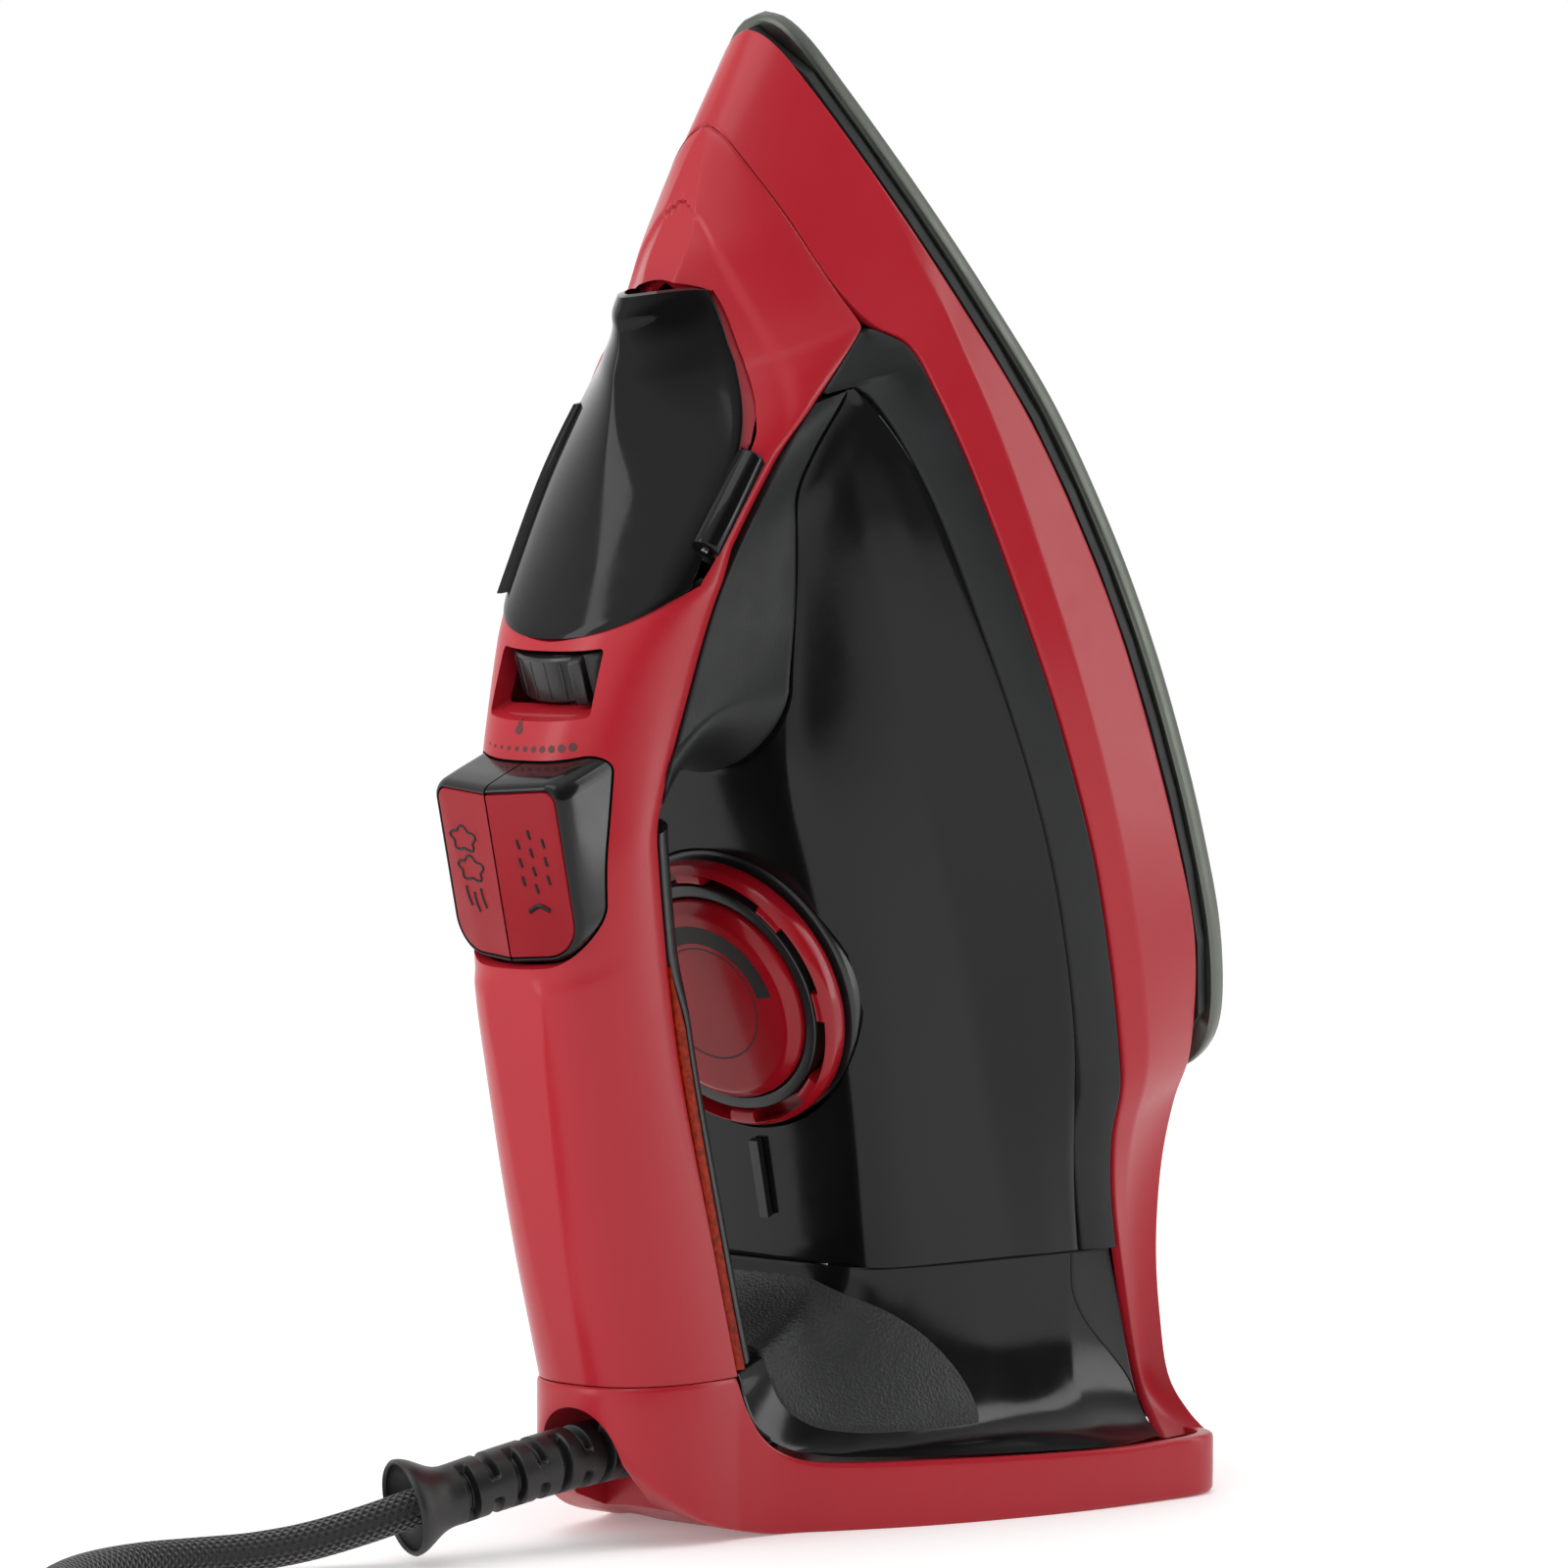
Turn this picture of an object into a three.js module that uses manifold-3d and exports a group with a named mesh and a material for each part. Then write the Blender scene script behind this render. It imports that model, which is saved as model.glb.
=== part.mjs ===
// Corded steam iron standing on its heel, millimetres, +Z up.
// Handle towards -X, soleplate towards +X, the iron's right side towards -Y. The floor is Z = 0.
import * as THREE from 'three';
import { mergeVertices } from 'three/addons/utils/BufferGeometryUtils.js';
import Module from 'manifold-3d';

const wasm = await Module();
wasm.setup();

// ---------- driving dimensions ----------
const LEAN = THREE.MathUtils.degToRad(20);   // the tip leans towards the handle when the iron stands
const SOLE_X = 104.3;                        // where the plane of the soleplate meets the floor
const SOLE_TIP = 318.5;                      // tip, measured along the sole from the floor
const SOLE_HALF = 64.5;                      // half the greatest width
const SOLE_THICK = 4.6;
const GAP = 0.35;                            // clearance between pieces that touch
const WALL = 2.3;                            // moulded wall
const HEEL_TOP = 32;                         // height of the seam between heel base and handle cover
const DECK_EDGE = 13;                        // height of the base's edge under the rear housing
const DIAL = { along: 140.5, face: 85, cap: 21.3, ring: 28.2 };
const BUTTON_TRAVEL = 4;
const CORD_D = 7.5;
const CORD_R = CORD_D / 2;
const COIL_MEAN = 77;                        // diameter at the middle of the coil's turns

// ---------- colours ----------
const look = (color, roughness = 0.4, metalness = 0, opacity = 1) => new THREE.MeshStandardMaterial({
  color, roughness, metalness, opacity, transparent: opacity < 1,
});
const RED = look(0xb3222e, 0.35);
const CLEAR_RED = look(0x8c0f1c, 0.2, 0, 0.8);
const BLACK = look(0x141415, 0.3);
const MATTE_BLACK = look(0x1d1d1e, 0.6);
const SMOKED = look(0x101012, 0.08, 0, 0.85);
const AMBER = look(0xc04a10, 0.3, 0, 0.8);
const STEEL = look(0x9fa3a3, 0.25, 1);
const CAST = look(0x8b8e90, 0.55, 1);
const BRASS = look(0xb99a55, 0.35, 1);
const WHITE = look(0xe4e1da, 0.5);
const CORD_BLACK = look(0x121212, 0.85);

// ---------- groups ----------
// standing: plain row axes. iron: local Z runs along the sole, local -X rises above it, local Y is across.
const standing = new THREE.Group();
const iron = new THREE.Group();
iron.rotation.y = -LEAN;
iron.position.x = SOLE_X;
iron.updateMatrixWorld(true);
standing.add(iron);

/** A point of the iron: along the sole, across it (right side negative), and the rise above it. */
const at = (along, across, rise) => new THREE.Vector3(-rise, across, along);

function add(group, name, geometry, material) {
  const mesh = new THREE.Mesh(geometry, material);
  mesh.name = name;
  group.add(mesh);
  return mesh;
}

// ---------- curves ----------
/** A smooth function through [x, y] pairs in rising x: cubic with the slopes of its neighbours. */
function through(pairs) {
  const slope = pairs.map((p, i) => {
    const a = pairs[Math.max(i - 1, 0)];
    const b = pairs[Math.min(i + 1, pairs.length - 1)];
    return (b[1] - a[1]) / (b[0] - a[0]);
  });
  return (x) => {
    if (x <= pairs[0][0]) return pairs[0][1];
    let i = 0;
    while (i < pairs.length - 2 && x > pairs[i + 1][0]) i += 1;
    const [x0, y0] = pairs[i];
    const [x1, y1] = pairs[i + 1];
    const d = x1 - x0;
    const t = Math.min((x - x0) / d, 1);
    const s = 1 - t;
    return y0 * s * s * (1 + 2 * t) + y1 * t * t * (3 - 2 * t) + d * s * t * (slope[i] * s - slope[i + 1] * t);
  };
}

const mix = THREE.MathUtils.lerp;
const smooth = (t) => THREE.MathUtils.smoothstep(t, 0, 1);
const steps = (n, from = 0, to = 1) => Array.from({ length: n + 1 }, (_, i) => mix(from, to, i / n));

/** A half outline as a smooth space curve, sampled evenly along its length. */
const edge = (points) => {
  const curve = new THREE.CatmullRomCurve3(points, false, 'centripetal');
  return (t) => curve.getPointAt(THREE.MathUtils.clamp(t, 0, 1));
};

/** The same point on the left side. */
const mirror = (p) => new THREE.Vector3(p.x, -p.y, p.z);

// ---------- closed solids from grids ----------
function faceted(positions, triangles) {
  const geometry = new THREE.BufferGeometry();
  geometry.setAttribute('position', new THREE.Float32BufferAttribute(positions, 3));
  let volume = 0;
  const v = (i) => new THREE.Vector3().fromArray(positions, 3 * i);
  for (let i = 0; i < triangles.length; i += 3) {
    volume += v(triangles[i]).dot(v(triangles[i + 1]).cross(v(triangles[i + 2])));
  }
  geometry.setIndex(volume < 0 ? triangles.toReversed() : triangles);
  return mergeVertices(geometry, 1e-4);
}

/** A closed sheet between an outer and an inner grid of points, given as rows of Vector3. */
function sheet(outer, inner, ring = false) {
  const rows = outer.length;
  const cols = outer[0].length;
  const positions = [...outer.flat(), ...inner.flat()].flatMap((p) => [p.x, p.y, p.z]);
  const id = (side, r, c) => side * rows * cols + (r % rows) * cols + c;
  const triangles = [];
  const quad = (a, b, c, d) => triangles.push(a, b, c, a, c, d);
  const lastRow = ring ? rows : rows - 1;
  for (let r = 0; r < lastRow; r += 1) {
    for (let c = 0; c < cols - 1; c += 1) {
      quad(id(0, r, c), id(0, r, c + 1), id(0, r + 1, c + 1), id(0, r + 1, c));
      quad(id(1, r, c), id(1, r + 1, c), id(1, r + 1, c + 1), id(1, r, c + 1));
    }
    quad(id(0, r, 0), id(0, r + 1, 0), id(1, r + 1, 0), id(1, r, 0));
    quad(id(0, r, cols - 1), id(1, r, cols - 1), id(1, r + 1, cols - 1), id(0, r + 1, cols - 1));
  }
  if (!ring) {
    for (let c = 0; c < cols - 1; c += 1) {
      quad(id(0, 0, c), id(1, 0, c), id(1, 0, c + 1), id(0, 0, c + 1));
      quad(id(0, rows - 1, c), id(0, rows - 1, c + 1), id(1, rows - 1, c + 1), id(1, rows - 1, c));
    }
  }
  return faceted(positions, triangles);
}

// ---------- booleans ----------
function solid(geometry) {
  const bare = geometry.clone();
  bare.deleteAttribute('normal');
  bare.deleteAttribute('uv');
  const merged = mergeVertices(bare, 1e-4);
  return new wasm.Manifold(new wasm.Mesh({
    numProp: 3,
    vertProperties: Float32Array.from(merged.attributes.position.array),
    triVerts: Uint32Array.from(merged.index.array),
  }));
}

function geometryOf(manifold) {
  const mesh = manifold.getMesh();
  const geometry = new THREE.BufferGeometry();
  geometry.setAttribute('position', new THREE.Float32BufferAttribute(mesh.vertProperties, 3));
  geometry.setIndex([...mesh.triVerts]);
  return geometry;
}

const cut = (body, ...tools) => geometryOf(tools.reduce((a, b) => a.subtract(solid(b)), solid(body)));
const join = (body, ...others) => geometryOf(others.reduce((a, b) => a.add(solid(b)), solid(body)));
const common = (body, other) => geometryOf(solid(body).intersect(solid(other)));

// ---------- prisms and turned pieces ----------
/** A plan outline given as [across, along] pairs, extruded between two rises above the sole. */
function plate(outline, low, high, holes = []) {
  const shape = new THREE.Shape(outline.map(([a, l]) => new THREE.Vector2(a, l)));
  shape.holes = holes.map((hole) => new THREE.Path(hole.map(([a, l]) => new THREE.Vector2(a, l))));
  const geometry = new THREE.ExtrudeGeometry(shape, { depth: high - low, bevelEnabled: false });
  geometry.applyMatrix4(new THREE.Matrix4().makeBasis(
    new THREE.Vector3(0, 1, 0), new THREE.Vector3(0, 0, 1), new THREE.Vector3(1, 0, 0)));
  return geometry.translate(-high, 0, 0);
}

const circle = (a, l, radius, sides = 8) => steps(sides - 1, 0, 2 * Math.PI * (1 - 1 / sides))
  .map((t) => [a + radius * Math.cos(t), l + radius * Math.sin(t)]);

/** A rounded rectangle about (a, l), as [across, along] pairs. */
function roundedBox(a, l, halfA, halfL, radius, perCorner = 3) {
  const corners = [[1, 1, 0], [-1, 1, 1], [-1, -1, 2], [1, -1, 3]];
  return corners.flatMap(([sa, sl, q]) => steps(perCorner, 0, Math.PI / 2).map((t) => [
    a + sa * (halfA - radius) + radius * Math.cos(t + q * Math.PI / 2),
    l + sl * (halfL - radius) + radius * Math.sin(t + q * Math.PI / 2),
  ]));
}

/** A turned piece: [radius, height] profile, closed, about an axis from one point in one direction. */
function turned(profile, origin, direction, sides = 16) {
  const points = profile.map(([r, y]) => new THREE.Vector2(r, y));
  points.push(points[0].clone());
  const geometry = new THREE.LatheGeometry(points, sides);
  const turn = new THREE.Quaternion().setFromUnitVectors(
    new THREE.Vector3(0, 1, 0), direction.clone().normalize());
  return geometry.applyQuaternion(turn).translate(origin.x, origin.y, origin.z);
}

const UP = at(0, 0, 1);                      // away from the sole
const ALONG = at(1, 0, 0);                   // towards the tip
const rod = (radius, low, high) => [[0, low], [radius, low], [radius, high], [0, high]];
const tube = (inside, outside, low, high) => [[inside, low], [outside, low], [outside, high], [inside, high]];
const upright = (profile, along, across, sides) => turned(profile, at(along, across, 0), UP, sides);

/** A round bar along a path. */
function bar(path, radius, sides, segments) {
  const section = new THREE.Shape(circle(0, 0, radius, sides).map(([x, y]) => new THREE.Vector2(x, y)));
  return new THREE.ExtrudeGeometry(section, { steps: segments, bevelEnabled: false, extrudePath: path });
}

// ---------- the outlines of the body ----------
/** Right half of the sole's outline as [along, half width], heel to tip. */
const SOLE_EDGE = edge([
  [91.5, 0], [91.5, 22], [91.8, 40], [93.5, 50], [98.5, 56], [105, 59.6], [123, 63.6], [145, SOLE_HALF],
  [162, 64], [185, 62], [208, 58], [235, 50.4], [258, 40], [280, 28.6], [303, 15.2], [313.5, 8.4],
  [317.4, 4], [SOLE_TIP, 0],
].map(([l, w]) => at(l, -w, 0)));

/** The whole outline, drawn in towards its middle, as [across, along] pairs. */
const SOLE_MIDDLE = 205;
function soleOutline(inset = 0, count = 22) {
  const wide = 1 - inset / SOLE_HALF;
  const long = 1 - 1.3 * inset / (SOLE_TIP - SOLE_MIDDLE);
  const half = steps(count).map((t) => SOLE_EDGE(t))
    .map((p) => [p.y * wide, SOLE_MIDDLE + (p.z - SOLE_MIDDLE) * long]);
  return [...half, ...half.slice(1, -1).reverse().map(([a, l]) => [-a, l])];
}

/** The skirt's lower edge, from the heel to the nose. */
const SKIRT_FOOT = edge([
  at(21.8, -54, 27.2), at(26, -50.5, 27.2), at(33, -46.8, 26.6), at(46, -45, 23), at(60, -44.5, 18.6),
  at(76, -45.6, 12.4), at(88, -49, 8.6), at(98, -54.6, 7.8), at(123, -62, 7.8), at(145, -63, 7.8),
  at(185, -60.6, 7.8), at(208, -56.6, 7.8), at(235, -49, 7.8), at(258, -38.6, 7.8), at(280, -27.2, 7.8),
  at(303, -13.6, 7.8), at(313, -6.6, 7.8), at(316, -3, 7.8), at(317, 0, 7.8),
]);
/** The skirt's upper edge: under the tank at the sides, and the nose seam in front. */
const SKIRT_TOP = edge([
  at(25.4, -51.2, 37.6), at(29, -46.5, 34), at(35, -43, 31.5), at(57.7, -42.6, 29), at(76, -45, 29),
  at(89, -48.4, 29), at(102.5, -54, 29), at(113.5, -56, 29), at(145.6, -59, 29), at(173, -58.4, 29),
  at(197.7, -55.6, 29), at(230, -48.6, 27.2), at(247, -41.6, 24.6), at(256.5, -36, 23.4), at(261.5, -31, 26.6),
  at(270.5, -24.4, 28), at(285.7, -16, 28), at(296, -9, 27.8), at(302, -3.6, 27), at(303.6, 0, 26.2),
]);

// ---------- the handle cover ----------
const coverHalf = through([
  [60, 19.5], [84, 19], [110, 18.5], [190, 18.6], [210, 20], [228, 23.6], [246, 27.8], [258, 29.6],
  [262.5, 29.4], [270.5, 24.2], [285.7, 15.9], [296, 9], [301, 4.6], [303.2, 0.6],
]);
const coverFoot = through([
  [60, 124], [84, 122.5], [110, 120], [150, 115], [184, 108], [190, 105.5], [210, 90.4], [228, 77.5],
  [246, 57], [257, 38], [262.5, 29.2], [270, 28.4], [285.7, 28.4], [296, 28.2], [301, 27.4], [303.2, 26.7],
]);
const crest = through([
  [60, 149.5], [90, 147.8], [115, 146], [140, 142.5], [172, 136.5], [190, 129], [206, 120.5], [212, 116.4],
  [218, 111.6], [227, 103.6], [240, 89.5], [256, 74], [270, 61], [281, 50], [289, 41.3], [303.2, 27.3],
]);
/** How square the section's shoulders are, from roof-like at the nose to boxy at the handle. */
const squareness = through([[84, 2.5], [190, 2.7], [222, 2.6], [240, 1.9], [262, 1.45], [303, 1.35]]);
/** The rear rows lean until they lie level with the floor. */
const level = (along) => Math.tan(LEAN) * smooth((150 - along) / 62);

/** A point of the cover: v runs from -1 on the right edge over the crest to 1; offset is outwards. */
function coverPoint(along, v, offset = 0) {
  const n = squareness(along);
  const turn = Math.abs(v) * Math.PI / 2;
  const half = coverHalf(along) + offset;
  const foot = coverFoot(along);
  const height = Math.max(crest(along) - foot + offset, 0.2);
  const across = Math.sign(v) * Math.max(half, 0.15) * Math.sin(turn) ** (2 / n);
  const rise = foot + height * Math.cos(turn) ** (2 / n);
  return at(along + level(along) * (rise - 148), across, rise);
}

const COVER_END = (HEEL_TOP + 0.2 + 148 * Math.sin(LEAN)) / Math.cos(LEAN);
const coverRows = [...steps(7, COVER_END, 184), ...steps(8, 192, 262), ...steps(6, 268, 302.4)];
const across13 = steps(12, -1, 1);

/** A cover sheet over given rows and columns, from one offset to another. */
const coverSheet = (rows, columns, top, bottom) => sheet(
  rows.map((l) => columns.map((v) => coverPoint(l, v, top))),
  rows.map((l) => columns.map((v) => coverPoint(l, v, bottom))),
);

/** The fill lid's half width along the iron. */
const lidHalf = through([
  [226, 15], [228.6, 21.4], [231, 22.4], [236, 23], [247, 23.4], [253, 22.6], [258, 20.4], [266, 15],
  [276.5, 9],
]);
const LID = { rear: 226, front: 276.5, axisRear: at(236, -23.9, 81.8), axisFront: at(247.6, -24.6, 64.2) };

/** The v at which the cover is a given distance from the centre plane. */
function columnAt(along, across) {
  const n = squareness(along);
  return (2 / Math.PI) * Math.asin(Math.min(Math.abs(across) / coverHalf(along), 1) ** (n / 2));
}

/** The lid's outline in plan, grown all round, as [across, along] pairs. */
function lidOutline(by = 0) {
  const half = steps(12, LID.rear, LID.front).map((l) => [-lidHalf(l) - by, l]);
  half[0][1] -= by;
  half[12][1] += by;
  return [...half, [0, LID.front + 4 + by], ...half.toReversed().map(([a, l]) => [-a, l])];
}

const PAD = { along: 189, halfAlong: 17.6, half: 16.2 };
const SLOT = { along: 218.6, halfAlong: 5.4, half: 12.6 };

/** Room for the lid's hinge barrel, and for the nozzle, in the pieces around them. */
const barrelNotch = () => turned(
  rod(3.2, -2.4, LID.axisRear.distanceTo(LID.axisFront) + 2.4), LID.axisFront, LID.axisRear.clone().sub(LID.axisFront), 10);
const nozzleWay = () => turned(rod(4.9, -13, 8), at(NOZZLE.along, 0, NOZZLE.rise), NOZZLE_WAY, 10);

function handleCover() {
  const shell = coverSheet(coverRows, across13, 0, -WALL);
  const padHole = plate(roundedBox(0, PAD.along, PAD.half + 0.4, PAD.halfAlong + 0.4, 7), 100, 160);
  const slot = plate(roundedBox(0, SLOT.along, SLOT.half, SLOT.halfAlong, 1, 1), 96, 140);
  const lidHole = plate(lidOutline(0.6), 30, 140);
  return cut(shell, padHole, slot, lidHole, barrelNotch(), nozzleWay());
}

/** Rows and columns of a patch of the cover that follows the lid's outline; its front edge is bowed. */
function lidGrid(rows, columns, offset, shrink = 0) {
  return rows.map((l) => {
    const reach = columnAt(l, lidHalf(l) - shrink);
    const bow = 3.4 * smooth((l - 262) / 14);
    return columns.map((c) => coverPoint(l + bow * (1 - c * c), c * reach, offset(l, c)));
  });
}

const across9 = steps(8, -1, 1);
/** The lid swells into a hood over the spray nozzle at its front. */
const hood = (l, c) => 0.4 + 9 * smooth((l - 254) / 24) * Math.cos(c * Math.PI / 2);

function fillLid() {
  const rows = steps(11, LID.rear, LID.front);
  const roof = sheet(
    lidGrid(rows, across9, hood),
    lidGrid(rows, across9, (l, c) => hood(l, c) - 2.1, 0.3),
  );
  const tabRows = steps(4, 232, 258);
  const tabFoot = tabRows.map((l) => {
    const v = columnAt(l, lidHalf(l) - 3.6);
    return [-0.9, 1.6, 4.2].map((offset) => coverPoint(l, v, offset));
  });
  const tab = sheet(tabFoot, tabFoot.map((row) => row.map((p) => p.clone().add(at(0, 1.6, 0)))));
  const axis = LID.axisRear.clone().sub(LID.axisFront);
  const barrel = turned(rod(2.7, 1.5, axis.length() - 1.5), LID.axisFront, axis, 12);
  return cut(join(roof, tab, barrel), turned(rod(1.4, -3, axis.length() + 3), LID.axisFront, axis, 8));
}

function lidHingePin() {
  const axis = LID.axisRear.clone().sub(LID.axisFront);
  return turned(rod(1.05, -1.6, axis.length() + 1.6), LID.axisFront, axis, 8);
}

function lidTray() {
  const rows = steps(8, LID.rear - 0.6, 290);
  const half = (l) => Math.min(lidHalf(Math.min(l, LID.front)) + 2.4, coverHalf(l) - 3.4);
  const grid = (offset) => rows.map((l) => {
    const reach = columnAt(l, half(l));
    return across9.map((c) => coverPoint(l, c * reach, offset));
  });
  const tray = sheet(grid(-WALL - 0.4), grid(-WALL - 1.9));
  const spoutHole = upright(rod(10.4, 30, 110), SPOUT.along, 0, 16);
  return cut(tray, spoutHole, nozzleWay(), barrelNotch());
}

const SPOUT = { along: 250, top: 65, foot: 40 };
const NOZZLE = { along: 276, rise: 53 };

// ---------- the tank and its neighbours ----------
const DECK_TOP = 50;                         // height where the tank meets the rear housing
const tankHalf = through([[60, 42.3], [76, 44.6], [89, 48], [102.5, 53.6], [145, 58.6], [173, 58], [197.7, 55.2],
  [230, 48.2], [247, 41.2], [256, 36.2], [260, 32]]);
const tankFoot = through([[60, 29.4], [197.7, 29.4], [230, 27.6], [247, 25], [256, 23.9], [260, 26]]);
const trimHalf = through([[60, 38.6], [89, 43.6], [102.5, 48.6], [145, 53.8], [173, 53.2], [210, 47.6],
  [230, 42], [244, 34.4], [249, 30.6]]);
const ridgeHalf = through([[60, 34.5], [100, 36.6], [160, 38], [215, 35], [236, 31], [249, 29]]);
const ridgeRise = through([[60, 52], [100, 50.6], [160, 49.6], [215, 47.5], [240, 43], [249, 40]]);
/** Where the tank's side turns over: at the deck, under the pillar, or at the cover's edge in front. */
const bodyTop = through([[60, 83], [69, 82], [82, 80.3], [90, 79.2], [105, 78], [122, 76.5], [160, 75.5],
  [185, 74], [200, 68], [215, 60], [230, 54.6], [237, 53]]);
const topRise = (l) => (l < 237 ? bodyTop(l) : coverFoot(l) - 1.4);
const topHalf = through([[60, 22], [100, 24], [180, 24], [230, 24.2], [236, 24.6], [246, 26.4], [249, 27]]);
const TRIM_RISE = 7;                         // height of the trim band beside the tank

/** The rows of the tank lean the same way, about the skirt's edge. */
const tankAlong = (along, rise) => along + level(along) * (rise - 29);

/** One half of a tank section, from the trim band's seam up to the middle. */
function tankSection(l, inset) {
  const points = [
    [trimHalf(l) - inset, tankFoot(l) + TRIM_RISE],
    [mix(trimHalf(l), ridgeHalf(l), 0.55) - inset, mix(tankFoot(l) + TRIM_RISE, ridgeRise(l), 0.5)],
    [ridgeHalf(l) - inset, ridgeRise(l) - inset * 0.6],
    [mix(ridgeHalf(l), topHalf(l), 0.6) - inset, mix(ridgeRise(l), topRise(l), 0.72) - inset * 0.8],
    [topHalf(l) - inset, topRise(l) - inset],
    [0, topRise(l) + 0.6 - inset],
  ];
  const right = points.map(([w, h]) => at(tankAlong(l, h), -w, h));
  return [...right, ...right.slice(0, -1).reverse().map(mirror)];
}

const TANK_START = (DECK_TOP + 0.4 + 29 * Math.sin(LEAN)) / Math.cos(LEAN);
const TANK_END = 248.5;
const tankRows = [...steps(5, TANK_START, 145), ...steps(4, 163, 216), 226, 236.4, 237.1, 243, TANK_END];

function waterTank() {
  const shell = sheet(tankRows.map((l) => tankSection(l, 0)), tankRows.map((l) => tankSection(l, WALL)));
  const collarHole = upright(rod(30.6, 59, 100), DIAL.along, 0, 24);
  const spoutHole = upright(rod(SPOUT_R + 0.4, 20, 80), SPOUT.along, 0, 16);
  const pumpHoles = [-1, 1].map((side) => upright(rod(3.4, 40, 80), PUMP.along, side * PUMP.across, 8));
  const valveHole = upright(rod(2.6, 40, 80), VALVE.along, 0, 8);
  return cut(shell, collarHole, spoutHole, valveHole, ...pumpHoles);
}

const SPOUT_R = 9.4;
const PUMP = { along: 203, across: 7.6, radius: 5 };
const VALVE = { along: 222 };

/** The trim runs beside the tank and closes over its front end, up to the cover's edge. */
function tankTrim(side) {
  const rows = [...tankRows.slice(0, -1), TANK_END + 0.05, TANK_END + 0.9, 253, 257, 260.4];
  const band = (inset) => rows.map((l) => steps(2).map((t) => {
    const closing = l > TANK_END + 0.5;
    const topW = closing ? coverHalf(l) - 0.3 : trimHalf(l) + 0.3;
    const topH = closing ? coverFoot(l) - 0.9 : tankFoot(l) + TRIM_RISE - GAP;
    const h = mix(tankFoot(l) + (closing ? 0.8 : 0.3), topH, t);
    return at(tankAlong(l, h), side * (mix(tankHalf(l), topW, t) - inset), h);
  }));
  return sheet(band(0), band(WALL));
}

// ---------- the front pillar, between tank and cover ----------
function frontPillar() {
  const side = [236, 228, 219, 210, 201].map((l) => [
    l, topHalf(l) - 0.2, bodyTop(l) + 0.9, coverHalf(l) - 0.4, coverFoot(l) - 0.6]);
  const columns = [...side, [193, 20, 72.2, 17.4, 102], [187.6, 11, 75.4, 10, 97.4], [186.6, 0, 75.6, 0, 96.4]];
  const wall = (inset) => columns.map(([l, footHalf, foot, topHalfWidth, top]) => steps(4).map((t) => {
    const waist = 5 * Math.sin(Math.PI * t) * smooth((215 - l) / 25);
    const w = Math.max(mix(footHalf, topHalfWidth, t) - inset, 0) - waist * 0.3 * Math.sign(footHalf);
    return at(l + waist + inset * smooth((200 - l) / 12), -w, mix(foot, top, t));
  }));
  const both = (half) => [...half, ...half.slice(0, -1).reverse().map((row) => row.map(mirror))];
  return sheet(both(wall(0)), both(wall(2)));
}

// ---------- the black underside of the handle and its light strips ----------
const STRIP = { rear: 76, front: 152, height: 2.8 };
const stripDrop = (l) => (l > STRIP.rear && l < STRIP.front ? STRIP.height + 2 * GAP : GAP);

function undersidePoint(l, c, inset) {
  const drop = stripDrop(l);
  const half = coverHalf(l) - 0.5 - inset;
  const top = coverFoot(l) - drop;
  const belly = 9.5 - drop;
  const turn = c * Math.PI / 2;
  const rise = top - (belly - inset) * Math.cos(turn) ** 0.8;
  return at(l + level(l) * (rise - 148), half * Math.sin(turn), rise);
}

function handleUnderside() {
  const rows = [...steps(4, COVER_END + 2, STRIP.front - 0.3), STRIP.front + 0.3, 163, 174, 185.6];
  const columns = steps(8, -0.995, 0.995);
  const grid = (inset) => rows.map((l) => columns.map((c) => {
    const lift = 4 * Math.max(1 - (l - rows[0]) / 18, 0) * Math.cos(c * Math.PI / 2);
    return undersidePoint(l + lift, c, inset);
  }));
  return sheet(grid(0), grid(2));
}

function lightStrip(side) {
  const rows = steps(6, COVER_END + 2, STRIP.front - 1);
  const band = (inset) => rows.map((l) => [GAP, STRIP.height].map((drop) => {
    const rise = coverFoot(l) - drop;
    return at(l + level(l) * (rise - 148), side * (coverHalf(l) - 0.3 - inset), rise);
  }));
  return sheet(band(0), band(1.7));
}

// ---------- the skirt ----------
function skirt() {
  const right = steps(24);
  const grid = (inset, backOff) => {
    const half = right.map((t) => [0, 0.5, 1].map((v) => {
      const p = SKIRT_FOOT(t).clone().lerp(SKIRT_TOP(t), v);
      const nose = smooth((p.z - 285) / 32);
      const w = Math.max(Math.abs(p.y) - inset * (1 - 0.35 * nose), 0);
      return new THREE.Vector3(p.x, -w, p.z - backOff * nose);
    }));
    return [...half, ...half.slice(0, -1).reverse().map((row) => row.map(mirror))];
  };
  return sheet(grid(0, 0), grid(WALL, 9));
}

// ---------- the heel, in floor coordinates ----------
/** Half outline of the heel base in plan, from the sole side round to the handle. */
const HEEL_PLAN = [
  [69.5, 0], [69.5, 50], [69, 55], [66.5, 58.6], [62, 59.8], [50, 57.6], [31, 52.4], [12, 45], [-4, 37],
  [-17, 28.6], [-26, 22.6], ...steps(7, Math.PI / 2, 0).map((turn) => [
    -37.6 - 27.8 * Math.cos(turn) ** 0.8, 19.2 * Math.sin(turn) ** 0.8]),
];
/** The heel base from the side: flat on the floor, then rounding up to the handle. */
const HEEL_SIDE = [
  [75, 0], [-26, 0], [-36, 1.5], [-46, 4.4], [-53.5, 8.8], [-59, 13.8], [-63.2, 20.4], [-65.6, 28],
  [-66.4, HEEL_TOP], [-38, HEEL_TOP], [-36, 26.4], [-32.4, 20.4], [-27, 16], [-20, 13.8], [0, DECK_EDGE],
  [40, 11.6], [75, 10.4],
];

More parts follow.
